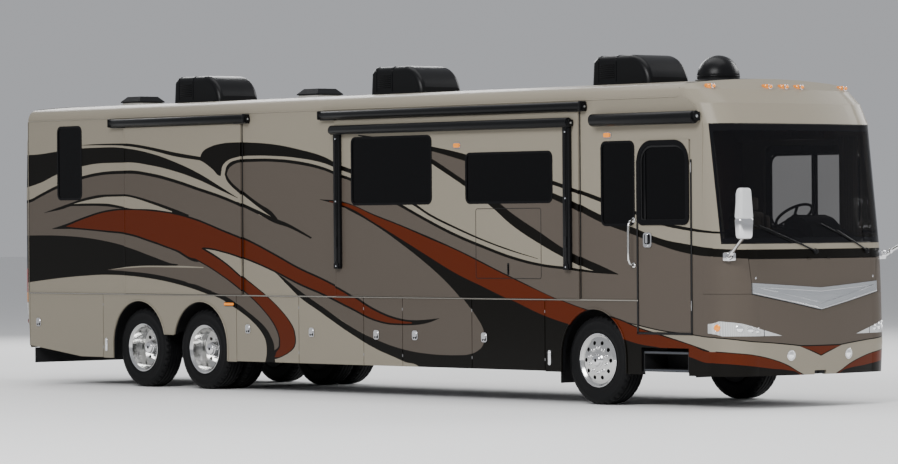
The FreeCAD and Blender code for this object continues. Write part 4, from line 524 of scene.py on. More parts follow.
def settle(name, material, body="coach", smooth=40):
    """Finish the active piece: its place frozen, smoothed, painted and riding on its body."""
    obj = bpy.context.object
    freeze()
    obj.data.materials.clear()
    obj.data.materials.append(material)
    bpy.ops.object.shade_smooth_by_angle(angle=math.radians(smooth))
    return rename(obj, name, body)


def seal_up():
    """All normals outwards, and back to object mode."""
    select()
    bpy.ops.mesh.normals_make_consistent(inside=False)
    mode("OBJECT")


def soften(width, segments=2):
    """A bevel on every sharp edge of the active piece, applied."""
    bevel = bpy.context.object.modifiers.new("soft_edges", "BEVEL")
    bevel.width = width
    bevel.segments = segments
    bpy.ops.object.modifier_apply(modifier=bevel.name)


def cube(low, high):
    """A plain box between two corners; returns its size."""
    fresh()
    size = [b - a for a, b in zip(low, high)]
    centre = [(a + b) / 2 for a, b in zip(low, high)]
    bpy.ops.mesh.primitive_cube_add(size=1, location=centre, scale=size)
    freeze()
    return size


def block(name, low, high, material, body="coach", bevel=0.003, segments=2):
    size = cube(low, high)
    soften(min(bevel, min(size) * 0.45), segments)
    return settle(name, material, body)


def side_box(side, along, out, up):
    """The two corners of a box given by its distances out from the centreline, on one side."""
    across = sorted((side * out[0], side * out[1]))
    return (along[0], across[0], up[0]), (along[1], across[1], up[1])


def side_block(name, side, along, out, up, material, body="coach", bevel=0.003):
    return block(name, *side_box(side, along, out, up), material, body, bevel)


def rod(name, start, end, radius, material, body="coach", bevel=0.0, sides=24):
    fresh()
    first, last = Vector(start), Vector(end)
    bpy.ops.mesh.primitive_cylinder_add(vertices=sides, radius=radius, depth=(last - first).length,
        location=(first + last) / 2)
    bpy.context.object.rotation_euler = (last - first).to_track_quat("Z", "Y").to_euler()
    freeze()
    if bevel:
        soften(bevel)
    return settle(name, material, body)


def stud(name, place, reach, radius, material, body="coach", bevel=0.0, sides=24):
    """A short rod from a place, reaching along one or more axes."""
    end = [a + b for a, b in zip(place, reach)]
    return rod(name, place, end, radius, material, body, bevel, sides)


def draw_path(points):
    """A line of corners, drawn in edit mode."""
    fresh()
    bpy.ops.mesh.primitive_plane_add(size=0.01, location=(0, 0, 0))
    mode("EDIT")
    select()
    bpy.ops.mesh.merge(type="CENTER")
    bpy.ops.transform.translate(value=points[0])
    for start, end in zip(points, points[1:]):
        step = [b - a for a, b in zip(start, end)]
        bpy.ops.mesh.extrude_region_move(TRANSFORM_OT_translate={"value": step})


def spun(points, centre, steps):
    """The path drawn and spun about a line across the vehicle."""
    draw_path(points)
    select()
    bpy.ops.mesh.spin(steps=steps, angle=math.tau, center=centre, axis=(0, 1, 0))
    select()
    bpy.ops.mesh.remove_doubles(threshold=MERGE_WITHIN)
    seal_up()


def lathe(name, rows, x, z, material, steps=64, smooth=35):
    """Rows of (radius, distance out) spun about a right wheel's axis; a base for copies."""
    spun([(x, -out, z + radius) for radius, out in rows], (x, 0, z), steps)
    return settle(name, material, None, smooth)


def bead(name, points, radius, material, body="coach", closed=False):
    """A round bead or bent rod along a path."""
    draw_path(points)
    if closed:
        select()
        bpy.ops.mesh.edge_face_add()
        bpy.ops.mesh.select_mode(type="FACE")
        select()
        bpy.ops.mesh.delete(type="ONLY_FACE")
        bpy.ops.mesh.select_mode(type="VERT")
    mode("OBJECT")
    bpy.ops.object.convert(target="CURVE")
    line = bpy.context.object.data
    line.bevel_depth = radius
    line.bevel_resolution = 2
    line.use_fill_caps = True
    bpy.ops.object.convert(target="MESH")
    return settle(name, material, body, 60)


def arc(x, z, radius, first, last, steps):
    """Points (x, z) on a circle, from one angle in degrees to another."""
    turns = [math.radians(turn) for turn in spread(first, last, steps)]
    return [(x + radius * math.cos(turn), z + radius * math.sin(turn)) for turn in turns]


def rounded(along, up, radius, out):
    """A rounded rectangle on a side, as points."""
    points = []
    for order, (x, z) in enumerate((
            (along[1] - radius, up[1] - radius), (along[0] + radius, up[1] - radius),
            (along[0] + radius, up[0] + radius), (along[1] - radius, up[0] + radius))):
        points += [(a, out, b) for a, b in arc(x, z, radius, 90 * order, 90 * order + 90, 5)]
    return points


def choose(kind, test):
    """The active piece's edges (1) or faces (2) that pass a test, selected in edit mode."""
    mesh = bpy.context.object.data
    select_kind(kind)
    mode("EDIT")
    select("DESELECT")
    mode("OBJECT")
    for item in (mesh.edges if kind == 1 else mesh.polygons):
        item.select = test(item)
    mode("EDIT")


def plate(name, side, along, out, up, radius, material, body="coach", rim=0.0, head=None):
    """A plate with rounded corners, wider ones at its head if given; with a rim it is an open frame."""
    size = cube(*side_box(side, along, out, up))
    mesh = bpy.context.object.data
    middle = (up[0] + up[1]) / 2

    def is_corner(edge, above):
        start, end = [mesh.vertices[corner].co for corner in edge.vertices]
        return abs(start.y - end.y) > size[1] / 2 and (start.z > middle) == above

    for turn, segments, above in ((radius, 6, False), (head or radius, 12 if head else 6, True)):
        choose(1, lambda edge: is_corner(edge, above))
        bpy.ops.mesh.bevel(offset=turn, segments=segments)
    if rim:
        choose(2, lambda face: abs(face.normal.y) > 0.9)
        bpy.ops.mesh.inset(thickness=rim)
        bpy.ops.mesh.bridge_edge_loops()
    select_kind(0)
    seal_up()
    return settle(name, material, body, 30)


def sheet(name, points, thick, material, body="coach"):
    """A flat sheet on the right side: its outline filled and drawn outwards."""
    draw_path(points)
    select()
    bpy.ops.mesh.edge_face_add()
    bpy.ops.mesh.extrude_region_move(TRANSFORM_OT_translate={"value": (0, -thick, 0)})
    seal_up()
    return settle(name, material, body, 30)


def copy_of(base, name, shift=(0, 0, 0), side=RIGHT, body=None):
    """The same piece again, mirrored over to the left if asked, then shifted."""
    fresh()
    bpy.context.view_layer.objects.active = base
    base.select_set(True)
    bpy.ops.object.duplicate(linked=False)
    bpy.ops.object.parent_clear(type="CLEAR_KEEP_TRANSFORM")
    if side == LEFT:
        bpy.ops.transform.resize(value=(1, -1, 1), center_override=(0, 0, 0))
    bpy.ops.transform.translate(value=shift)
    freeze()
    mode("EDIT")
    seal_up()
    return rename(bpy.context.object, name, body)


def joined(name, pieces, body=None):
    """Several pieces made one."""
    fresh()
    for piece in pieces:
        piece.select_set(True)
    bpy.context.view_layer.objects.active = pieces[0]
    bpy.ops.object.join()
    return rename(bpy.context.object, name, body)


def touch(node, start, direction):
    """Where a straight line meets a node's skin, and the skin's outward normal there."""
    hit, place, normal, _ = frame["nodes"][node].ray_cast(Vector(start), Vector(direction).normalized())
    if not hit:
        raise RuntimeError("nothing of %s is met from %s" % (node, start))
    return place, normal


def from_ahead(node, across, up):
    return touch(node, (8, across, up), (-1, 0, 0))


def from_astern(node, across, up):
    return touch(node, (-9, across, up), (1, 0, 0))


def lifted(hits, height):
    """Points a little off the skin, from places and normals."""
    return [tuple(place + normal * height) for place, normal in hits]


def set_on(name, rows, hit, material, body="coach", steps=40):
    """Rows of (distance out, radius) spun about an axis and seated on a surface along its normal."""
    spun([(0, out, radius) for out, radius in rows], (0, 0, 0), steps)
    obj = bpy.context.object
    obj.location, normal = hit
    obj.rotation_euler = Vector(normal).to_track_quat("Y", "Z").to_euler()
    return settle(name, material, body, 35)


# ------------------------------------------------------------------ wheels
def tyre_rows():
    """Half of a section from the bead out over four grooves; radius, distance from the tyre's own plane."""
    rows = [(0.2875, 0.1245), (0.311, 0.1255), (0.318, 0.135), (0.331, 0.1405), (0.345, 0.1425),
        (0.352, 0.1445), (0.362, 0.1448), (0.369, 0.1435), (0.405, 0.145), (0.432, 0.1445), (0.439, 0.146),
        (0.446, 0.1455), (0.450, 0.1430), (0.468, 0.139), (0.486, 0.130), (0.497, 0.121), (0.5045, 0.109),
        (0.5065, 0.100)]
    for groove in (0.076, 0.026):
        rows += [(0.5075, groove + 0.0065), (0.4965, groove + 0.0045), (0.4965, groove - 0.0045),
            (0.5078, groove - 0.0065)]
    return rows


def is_shoulder_slot(face):
    """Every third step round the tyre, between the shoulder and the outer groove."""
    x, z = face.center.x - AXLES["front"], face.center.z - WHEEL_RADIUS
    step = int(round(math.atan2(z, x) / math.tau * TREAD_STEPS - 0.5))
    return step % 3 == 0 and 0.0850 < abs(face.center.y + WHEEL_PLANE) < 0.127 and math.hypot(z, x) > 0.488


def make_tyres():
    """One treaded tyre copied to every wheel, twice on the drive axle."""
    half = tyre_rows()
    rows = [(radius, WHEEL_PLANE - out) for radius, out in half]
    rows += [(radius, WHEEL_PLANE + out) for radius, out in reversed(half)]
    base = lathe("tyre_base", rows, AXLES["front"], WHEEL_RADIUS, rubber, TREAD_STEPS, 32)
    choose(2, is_shoulder_slot)
    bpy.ops.mesh.extrude_region_shrink_fatten(TRANSFORM_OT_shrink_fatten={"value": -0.007})
    mode("OBJECT")
    select_kind(0)
    for place, name, side in WHEELS:
        tag = place + "_" + name
        for order, inward in enumerate((0.0, DUAL_PITCH) if place == "drive" else (0.0,)):
            shift = (AXLES[place] - AXLES["front"], -side * inward, 0)
            tread = copy_of(base, "tread_%s_%d" % (tag, order), shift, side, "%s_wheel_%s" % (place, name))
            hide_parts("tyre_" + tag)
    bpy.data.objects.remove(base)


def make_wheel_trim():
    """Hub caps, nut covers, valves, brake drums, near-black shade rings inside the rim barrels (painted
    shade) and the polished step at the flange.
    """
    x, z = AXLES["front"], WHEEL_RADIUS
    ring_of_nuts = 0.143
    cap = lathe("hub_cap", [(0.084, 1.233), (0.084, 1.241), (0.078, 1.246), (0.066, 1.2465), (0.064, 1.262),
        (0.058, 1.268), (0.030, 1.2725), (0.0, 1.274)], x, z, chrome)
    deep = lathe("deep_hub_cap", [(0.110, 0.978), (0.110, 1.000), (0.106, 1.012), (0.0855, 1.118),
        (0.083, 1.124), (0.074, 1.127), (0.070, 1.143), (0.064, 1.150), (0.030, 1.1555), (0.0, 1.157)], x,
        z, chrome)
    nut = lathe("nut_cover", [(0.0, 1.2595), (0.006, 1.259), (0.0115, 1.2555), (0.0145, 1.249),
        (0.0165, 1.238), (0.0205, 1.2365), (0.0205, 1.226)], x, z + ring_of_nuts, chrome, 12, 50)
    nuts = joined("nut_covers", [copy_of(nut, "nut", (a, 0, b)) for a, b in arc(0, -ring_of_nuts,
        ring_of_nuts, 18, 342, 9)])
    eye = lathe("cap_window", [(0.0, 1.2765), (0.016, 1.276), (0.019, 1.2745), (0.0215, 1.270)], x, z,
        black_coat, 32)
    ring = lathe("rim_step", [(0.297, 1.2285), (0.304, 1.2325), (0.308, 1.2305), (0.309, 1.2265)], x, z,
        chrome, 96)
    drum = lathe("brake_drum", [(0.240, 0.985), (0.247, 0.99), (0.247, 1.035), (0.240, 1.042),
        (0.09, 1.052), (0.09, 1.045), (0.232, 1.035), (0.232, 0.985), (0.240, 0.985)], x, z, frame_black)
    # painted shade: a flat near-black ring darkens the inside of each rim barrel
    rim_shade = lathe("shade_ring", [(0.236, 0.9455), (0.309, 0.9435), (0.310, 0.9455), (0.300, 0.950),
        (0.262, 0.952), (0.236, 0.951), (0.236, 0.9455)], x, z, frame_black)
    valve = rod("valve_stem", (x + 0.244, -1.205, z), (x + 0.262, -1.233, z), 0.0045, chrome, None)
    for place, name, side in WHEELS:
        sunk = place != "front"
        low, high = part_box("rim_%s_%s" % (place, name))
        flange = min(abs(low[1]), abs(high[1]))
        parts = [("hub_cap", deep if sunk else cap, 0), ("cap_window", eye, WINDOW_DEEPER * sunk),
            ("rim_step", ring, 0), ("shade_ring", rim_shade, SHADE_RING_PLANE - flange), ("valve_stem", valve, 0),
            ("nut_covers", nuts, NUTS_DEEPER * sunk)]
        if place != "drive":
            parts.append(("brake_drum", drum, DRUM_DEEPER * sunk))
        for part, base, inward in parts:
            copy_of(base, "%s_%s_%s" % (part, place, name), (AXLES[place] - x, -side * inward, 0), side,
                "%s_wheel_%s" % (place, name))
    for base in (cap, deep, nut, nuts, eye, ring, drum, rim_shade, valve):
        bpy.data.objects.remove(base)


# ------------------------------------------------------------------ side trim
BAY_DOORS = ((RIGHT, "right_1", -2.022, 0.780), (RIGHT, "right_2", -0.754, 0.755),
    (RIGHT, "right_3", 0.491, 0.744), (RIGHT, "right_4", 1.213, 0.748), (RIGHT, "right_5", 2.470, 0.742),
    (RIGHT, "rear", -6.536, 0.810), (LEFT, "left_1", -2.022, 0.755), (LEFT, "left_2", -0.090, 0.755),
    (LEFT, "left_3", 1.840, 0.755))


def make_latches():
    """A bright paddle latch on each bay door: rounded plate, sunk well, paddle and key barrel."""
    for side, tag, x, z in BAY_DOORS:
        body = "bay_door_" + tag
        for part, wide, out, low, high, radius, material in (
                ("plate", 0.050, (1.2992, 1.3055), -0.056, 0.056, 0.030, chrome),
                ("well", 0.037, (1.3048, 1.3062), -0.044, 0.018, 0.018, gloss_black),
                ("paddle", 0.032, (1.3058, 1.3130), -0.020, 0.038, 0.018, chrome)):
            plate("latch_%s_%s" % (part, body), side, around(x, wide), out, (z + low, z + high), radius,
                material, body)
        stud("latch_key_" + body, (x, side * 1.3050, z - 0.034), (0, side * 0.0045, 0), 0.0085, chrome,
            body, 0.001, 20)


def arch_points(places, radius, leg, out, height=0.55, tongue=None, steps=22):
    """The line of a wheel arch, or of a pair with a tongue between them."""
    points = [(places[-1] + radius, leg)]
    rise = math.degrees(math.asin((tongue - height) / radius)) if tongue else 0.0
    for place in reversed(places):
        first = rise if place != places[-1] else 0.0
        last = 180 - (rise if place != places[0] else 0.0)
        points += arc(place, height, radius, first, last, steps)
    points.append((places[0] - radius, leg))
    return [(x, out, z) for x, z in points]


def make_belt_and_arches():
    """Bright moulding between the lower doors and the walls, and a lip round each wheel arch."""
    for name, side in SIDES:
        front = 5.110 if side == RIGHT else 6.120
        side_block("belt_" + name, side, (-6.745, front), (1.2965, 1.3075), (1.1885, 1.2045), belt_trim,
            bevel=0.004)
    for name, side in SIDES:
        for end, places, radius, tongue in (("front", (AXLES["front"],), 0.549, None),
                                            ("rear", (AXLES["tag"], AXLES["drive"]), 0.568, 0.69)):
            bead("arch_lip_%s_%s" % (end, name), arch_points(places, radius, 0.372, side * 1.2985,
                tongue=tongue), 0.0095, wall_paint)


def span(end, way, near, far):
    """From a near to a far distance off an end, as low and high."""
    return sorted((end + way * near, end + way * far))


def make_fascia_trims():
    """Edge trims in the wall paint and dark seals round the slide-outs; the trims travel with them."""
    for body, side, rear, front in (("slideout_bedroom", RIGHT, -4.580, -2.120),
                                    ("slideout_front", RIGHT, -0.260, 4.150),
                                    ("slideout_driver_side", LEFT, -2.100, 3.900)):
        for order, (end, way) in enumerate(((rear, 1), (front, -1))):
            side_block("edge_trim_%s_%d" % (body, order), side, span(end, way, 0.001, 0.015),
                (1.316, 1.3275), (1.208, 3.348), wall_paint, body, 0.004)
            side_block("wipe_seal_%s_%d" % (body, order), side, span(end, way, -0.012, -0.001),
                (1.294, 1.3035), (1.215, 3.345), seal_rubber, bevel=0.002)
        for order, up in enumerate(((1.2075, 1.2215), (3.3345, 3.3485))):
            side_block("edge_rail_%s_%d" % (body, order), side, (rear + 0.001, front - 0.001),
                (1.316, 1.3265), up, wall_paint, body, 0.004)
    for name, side in SIDES:
        side_block("tail_seam_" + name, side, (-6.757, -6.744), (1.289, 1.2995), (1.206, 3.47), seal_rubber,
            bevel=0.002)
        side_block("tail_seam_bead_" + name, side, (-6.7545, -6.7465), (1.292, 1.3015), (1.206, 3.47),
            champagne_plain, bevel=0.002)


WINDOWS = (("rear", RIGHT, (-6.080, -5.550), (2.435, 3.385), "coach"),
           ("dinette", RIGHT, (4.510, 5.050), (2.050, 2.990), "coach"),
           ("rear_left", LEFT, (-6.080, -5.550), (2.435, 3.385), "coach"),
           ("bedroom_left", LEFT, (-4.300, -2.700), (2.435, 3.100), "coach"),
           ("driver", LEFT, (4.560, 5.820), (2.000, 2.960), "coach"),
           ("galley", RIGHT, (0.070, 1.560), (2.320, 3.125), "slideout_front"),
           ("lounge", RIGHT, (2.190, 3.700), (2.320, 2.900), "slideout_front"),
           ("left_a", LEFT, (-1.500, -0.300), (2.320, 2.980), "slideout_driver_side"),
           ("left_b", LEFT, (1.900, 3.400), (2.320, 2.980), "slideout_driver_side"))


def make_window_frames():
    """A slim black frame round every window; a slider rail and a bar in the long ones on the left."""
    for tag, side, (rear, front), (low, high), body in WINDOWS:
        face = WALL_FACE if body == "coach" else FASCIA_FACE
        plate("window_frame_" + tag, side, (rear - 0.012, front + 0.012), (face - 0.0085, face + 0.0035),
            (low - 0.012, high + 0.012), 0.080, gloss_black, body, rim=0.028)
        if side == LEFT and front - rear > 1.0:
            drop = low + (high - low) * 0.24
            side_block("window_rail_" + tag, side, (rear + 0.012, front - 0.012),
                (face - 0.012, face - 0.004), around(drop, 0.010), gloss_black, body)
            side_block("window_mullion_" + tag, side, around((rear + front) / 2, 0.009),
                (face - 0.012, face - 0.005), (low + 0.012, drop - 0.008), gloss_black, body)


def make_entry_trim():
    """The entry door's arched window frame, lever, lock and seams, and the grab handle beside it."""
    body = "entry_door"
    for part, along, out, up, radius, material, rim, head in (
            ("window_frame", (5.104, 5.948), (1.2985, 1.3075), (2.045, 2.998), 0.085, gloss_black, 0.058,
                0.235),
            ("window_gasket", (5.150, 5.925), (1.2885, 1.3005), (2.077, 2.949), 0.070, seal_rubber, 0.030,
                0.195),
            ("lever_plate", (5.203, 5.338), (1.2995, 1.3065), (1.795, 1.962), 0.034, chrome, 0.0, None),
            ("lever_well", (5.222, 5.319), (1.3055, 1.3075), (1.832, 1.945), 0.022, gloss_black, 0.0, None),
            ("lever", (5.252, 5.289), (1.307, 1.322), (1.842, 1.950), 0.016, chrome, 0.0, None)):
        plate("entry_" + part, RIGHT, along, out, up, radius, material, body, rim, head)
    for order, (edge, way) in enumerate(((5.104, 1), (5.948, -1))):
        corner = [(edge, 2.763), (edge, 2.998), (edge + way * 0.235, 2.998)]
        corner += arc(edge + way * 0.235, 2.763, 0.229, 90, 90 + way * 90, 12)
        sheet("entry_corner_%d" % order, [(x, -1.2995, z) for x, z in corner], 0.0030, wall_paint, body)
    side_block("entry_slider_bar", RIGHT, (5.222, 5.240), (1.290, 1.298), (2.095, 2.935), gloss_black, body)
    stud("entry_lock", (5.271, -1.3055, 1.813), (0, -0.006, 0), 0.010, chrome, body, 0.0015)
    for part, along, up in (("0", (5.090, 5.1155), (0.822, 2.775)), ("1", (5.9685, 5.992), (0.822, 2.775)),
                            ("foot", (5.090, 5.992), (0.818, 0.8425))):
        side_block("entry_seal_" + part, RIGHT, along, (1.2985, 1.3030), up, seal_rubber, bevel=0.002)
    foot = [(5.046, -1.297, 0.255), (5.045, -1.330, 0.253), (5.042, -1.362, 0.232), (5.040, -1.378, 0.190),
        (5.040, -1.380, 0.110)]
    bead("grab_handle", [(x, y, 1.850 + z) for x, y, z in foot]
        + [(x, y, 1.850 - z) for x, y, z in reversed(foot)], 0.0145, alloy)
    for order, z in enumerate((1.595, 2.105)):
        stud("grab_foot_%d" % order, (5.046, -1.2985, z), (0, -0.007, 0), 0.030, alloy, bevel=0.002)
    for order, z in enumerate((1.091, 2.629)):
        stud("entry_hinge_%d" % order, (5.981, -1.3065, z), (0, 0, 0.110), 0.0055, chrome)


def make_side_lights():
    """Courtesy lights, porch lights and side markers."""
    lamps = []
    for name, side in SIDES:
        for order, (x, z) in enumerate(((-5.010, 0.537), (3.617, 0.526))):
            tag = "%s_%d" % (name, order)
            lamps += [
                ("courtesy_bezel_" + tag, side, (x, 0.024), (1.2955, 1.3085), (z, 0.086), 0.020, chrome,
                    "coach"),
                ("courtesy_lens_" + tag, side, (x, 0.013), (1.3075, 1.3115), (z, 0.070), 0.012, lamp_lit,
                    "coach")]
        lamps += [
            ("marker_base_" + name, side, (-2.4, 0.105), (1.2955, 1.303), (1.087, 0.025), 0.020,
                gloss_black, "coach"),
            ("marker_lens_" + name, side, (-2.4, 0.096), (1.302, 1.3115), (1.087, 0.017), 0.015,
                lamp_amber, "coach")]
        hit = touch("rear_cap", (-6.850, side * 3, 0.820), (0, -side, 0))
        set_on("tail_marker_base_" + name, [(-0.004, 0.036), (0.004, 0.036), (0.006, 0.032), (0.006, 0.0)],
            hit, gloss_black, steps=32)
        set_on("tail_marker_lens_" + name, [(0.004, 0.028), (0.011, 0.026), (0.015, 0.016), (0.016, 0.0)],
            hit, lamp_red, steps=32)
    for tag, x, z, face, body in (("porch", 4.620, 3.070, 1.2945, "coach"),
                                  ("fascia", 2.040, 3.000, 1.3225, "slideout_front")):
        lamps += [
            ("porch_base_" + tag, RIGHT, (x, 0.062), (face, face + 0.010), (z, 0.034), 0.022, satin_silver,
                body),
            ("porch_lens_" + tag, RIGHT, (x, 0.052), (face + 0.009, face + 0.022), (z, 0.025), 0.018,
                lamp_amber, body)]
    for name, side, along, out, up, radius, material, body in lamps:
        plate(name, side, around(*along), out, around(*up), radius, material, body)


def make_hatches():
    """The outlined hatch and its pull on the front slide-out, and the service lids on the left."""
    body = "slideout_front"
    bead("hatch_seam", rounded((2.360, 3.505), (1.435, 2.250), 0.03, -1.3232), 0.0035, seal_rubber, body,
        closed=True)
    plate("hatch_pull_plate", RIGHT, (2.916, 2.946), (1.3225, 1.3270), (1.475, 1.615), 0.012, black_coat,
        body)
    side_block("hatch_pull", RIGHT, (2.924, 2.938), (1.3265, 1.3360), (1.495, 1.595), gloss_black, body)
    for order, (x, z, wide, tall) in enumerate(((-5.900, 1.00, 0.22, 0.22), (-5.45, 0.62, 0.30, 0.22),
                                                (4.95, 0.98, 0.20, 0.20))):
        plate("service_rim_%d" % order, LEFT, (x, x + wide), (1.2945, 1.3025), (z, z + tall), 0.03,
            satin_silver)
        plate("service_lid_%d" % order, LEFT, (x + 0.012, x + wide - 0.012), (1.3015, 1.3055),
            (z + 0.012, z + tall - 0.012), 0.022, champagne_plain)
        stud("service_lock_%d" % order, (x + wide / 2, 1.305, z + 0.035), (0, 0.0045, 0), 0.011, chrome,
            bevel=0.0015)


# ------------------------------------------------------------------ nose
def make_lamp_bowls():
    """Three bowls and an amber turn lamp a side, fog lamps in bright rings."""
    for name, side in SIDES:
        for order, (across, up, size) in enumerate(((0.930, 0.868, 0.030), (1.020, 0.884, 0.037),
                                                    (1.130, 0.897, 0.044))):
            hit = from_ahead("headlamps", side * across, up)
            tag = "%s_%d" % (name, order)
            set_on("lamp_ring_" + tag, [(-0.004, size + 0.005), (0.003, size + 0.005),
                (0.005, size + 0.002), (0.004, size - 0.002), (-0.004, size - 0.004)], hit, chrome)
            set_on("lamp_eye_" + tag, [(-0.004, size - 0.003), (0.001, size - 0.003), (0.006, size * 0.66),
                (0.009, size * 0.3), (0.010, 0.0)], hit, lamp_lit)
        hit = touch("headlamps", (6.36, side * 3, 0.905), (0, -side, 0))
        set_on("turn_ring_" + name, [(-0.004, 0.047), (0.003, 0.047), (0.005, 0.044), (0.004, 0.040),
            (-0.004, 0.038)], hit, chrome)
        set_on("turn_eye_" + name, [(-0.004, 0.040), (0.002, 0.040), (0.006, 0.027), (0.009, 0.012),
            (0.010, 0.0)], hit, lamp_amber)
        hit = from_ahead("headlamps", side * 0.456, 0.587)
        set_on("fog_ring_" + name, [(-0.004, 0.060), (0.004, 0.060), (0.0065, 0.056), (0.0055, 0.048),
            (0.001, 0.045)], hit, chrome)
        set_on("fog_eye_" + name, [(0.0005, 0.045), (0.004, 0.038), (0.0085, 0.022), (0.010, 0.0)], hit,
            lamp_lit)


def make_markers():
    """Bullet marker lamps along the brow; amber ahead, red astern."""
    for order, across in enumerate((-1.05, -0.25, 0.0, 0.25, 1.05)):
        for end, hit, lens in (("front", from_ahead("signal_lamps", across, 3.592), lamp_amber),
                               ("rear", from_astern("rear_cap", across, 3.560), lamp_red)):
            set_on("marker_foot_%s_%d" % (end, order),
                [(-0.01, 0.030), (0.004, 0.030), (0.006, 0.026), (0.006, 0.0)], hit, chrome, steps=24)
            set_on("marker_bulb_%s_%d" % (end, order),
                [(0.004, 0.022), (0.012, 0.021), (0.022, 0.015), (0.028, 0.008), (0.030, 0.0)], hit, lens,
                steps=24)


def make_wiper_blades():
    """Rubber blades in slim holders under the two arms, following the bowed screen."""
    for order, (foot, tip, pivot) in enumerate((((-0.40, 1.868), (-1.02, 2.093), -0.05),
                                                ((0.55, 1.880), (0.06, 2.072), 0.83))):
        hits = [from_ahead("windshield", across, up - 0.022)
            for across, up in zip(spread(foot[0], tip[0], 8), spread(foot[1], tip[1], 8))]
        bead("wiper_holder_%d" % order, lifted(hits, 0.014), 0.0055, black_coat)
        bead("wiper_blade_%d" % order, lifted(hits, 0.006), 0.0035, seal_rubber)
        set_on("wiper_boss_%d" % order, [(0.0, 0.034), (0.010, 0.032), (0.028, 0.024), (0.034, 0.016),
            (0.036, 0.0)], from_ahead("front_cap", pivot, 1.740), black_coat, steps=28)


def make_screen_trim():
    """A rubber bead along the windshield's foot and head, and two pins above the wing trim."""
    foot = ((-1.24, 1.845), (-0.9, 1.838), (-0.45, 1.834), (0, 1.833), (0.45, 1.834), (0.9, 1.838),
        (1.24, 1.845))
    head = [(across, 3.163) for across in spread(-1.235, 1.235, 12)]
    for part, line in (("foot", foot), ("head", head)):
        bead("screen_%s_bead" % part, lifted([from_ahead("windshield", *point) for point in line], 0.001),
            0.006, seal_rubber)
    for name, side in SIDES:
        set_on("hood_pin_" + name, [(0.0, 0.013), (0.003, 0.013), (0.006, 0.010), (0.0065, 0.0)],
            from_ahead("hood", side * 0.93, 1.452), chrome, "hood", 20)


def make_tow_socket():
    """A dark socket behind the slot in the bumper."""
    block("tow_socket", (6.540, -0.086, 0.372), (6.672, 0.086, 0.409), frame_black, bevel=0.004)
    block("tow_eye", (6.660, -0.030, 0.376), (6.684, 0.030, 0.405), black_coat, bevel=0.006)


def make_wing_trim():
    """Bright beads along the wing trim: round its sunk panel and down both lower edges."""
    for name, corners, closed, radius in (
            ("wing_inner_bead", ((-0.860, 1.347), (0.0, 1.296), (0.860, 1.347), (0.918, 1.347), (0.0, 1.165),
                                 (-0.918, 1.347)), True, 0.0035),
            ("wing_lower_bead", ((-0.976, 1.290), (0.0, 1.103), (0.976, 1.290)), False, 0.0055)):
        hits = []
        for start, end in zip(corners, corners[1:] + corners[:1] if closed else corners[1:]):
            hits += [from_ahead("hood_trim", across, up) for across, up in
                zip(spread(start[0], end[0], 12)[:-1], spread(start[1], end[1], 12))]
        if not closed:
            hits.append(from_ahead("hood_trim", *corners[-1]))
        bead(name, lifted(hits, 0.001), radius, chrome, "hood", closed=closed)


def taper(obj, low, high, small):
    """Draw in the corners of a piece towards its middle, more the higher they are."""
    centre = sum((corner.co for corner in obj.data.vertices), Vector()) / len(obj.data.vertices)
    for corner in obj.data.vertices:
        share = (corner.co.z - low) / (high - low)
        factor = 1 + (small - 1) * max(0.0, min(1.0, share))
        corner.co.x = centre.x + (corner.co.x - centre.x) * factor
        corner.co.y = centre.y + (corner.co.y - centre.y) * factor


def make_mirrors():
    """Tapered heads with a white upper shell, bright lower shell and foot, and two glasses astern."""
    x = 6.915
    for name, side in SIDES:
        y = side * 1.400
        upper = block("mirror_upper_" + name, (x - 0.060, y - 0.110, 2.095), (x + 0.060, y + 0.110, 2.448),
            shell_white, bevel=0.044, segments=6)
        taper(upper, 2.12, 2.448, 0.76)
        lower = block("mirror_lower_" + name, (x - 0.062, y - 0.112, 1.885), (x + 0.062, y + 0.112, 2.125),
            chrome, bevel=0.042, segments=6)
        taper(lower, 2.14, 1.885, 0.84)
        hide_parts("mirrors")
        for part, back, half, up, bevel in (("glass", 0.0635, 0.066, (2.135, 2.395), 0.004),
                                            ("wide_glass", 0.0640, 0.070, (1.945, 2.095), 0.005)):
            block("mirror_%s_%s" % (part, name), (x - back, y - half, up[0]), (x - 0.045, y + half, up[1]),
                mirror_glass, bevel=bevel)
        foot, normal = from_ahead("front_cap", side * 1.195, 1.690)
        elbow = foot + normal * 0.085
        knee = Vector((elbow.x + 0.055, side * 1.262, 1.735))
        head = Vector((x, y, 1.915))
        bead("mirror_arm_" + name, [foot + normal * 0.02, elbow, knee, knee.lerp(head, 0.55), head], 0.019,
            chrome)
        set_on("mirror_foot_" + name, [(-0.012, 0.052), (0.010, 0.052), (0.016, 0.046), (0.062, 0.036),
            (0.074, 0.028), (0.078, 0.0)], (foot, normal), chrome)
        block("mirror_bracket_" + name, foot - Vector((0.045, 0.066, 0.050)),
            foot + Vector((0.050, 0.066, 0.050)), chrome, bevel=0.016, segments=4)
        stud("mirror_knuckle_" + name, (knee.x - 0.012, knee.y, knee.z - 0.02), (0.024, 0, 0.04), 0.026,
            chrome, bevel=0.004)


# ------------------------------------------------------------------ cab seen through the screen
def cushion(name, along, across, up, ease):
    """A stuffed form: crowned faces, corners and edges pulled in, filling its box."""
    low, high = zip(along, across, up)
    size = [b - a for a, b in zip(low, high)]
    fresh()
    bpy.ops.mesh.primitive_cube_add(size=1, location=(0, 0, 0), scale=size)
    freeze()
    mode("EDIT")
    select()
    bpy.ops.mesh.subdivide(number_cuts=9)
    bpy.ops.mesh.vertices_smooth(factor=0.5, repeat=ease)
    mode("OBJECT")
    obj = bpy.context.object
    obj.scale = [want / have for want, have in zip(size, obj.dimensions)]
    obj.location = [(a + b) / 2 for a, b in zip(low, high)]
    made = settle(name, leather, "coach", 80)
    return made


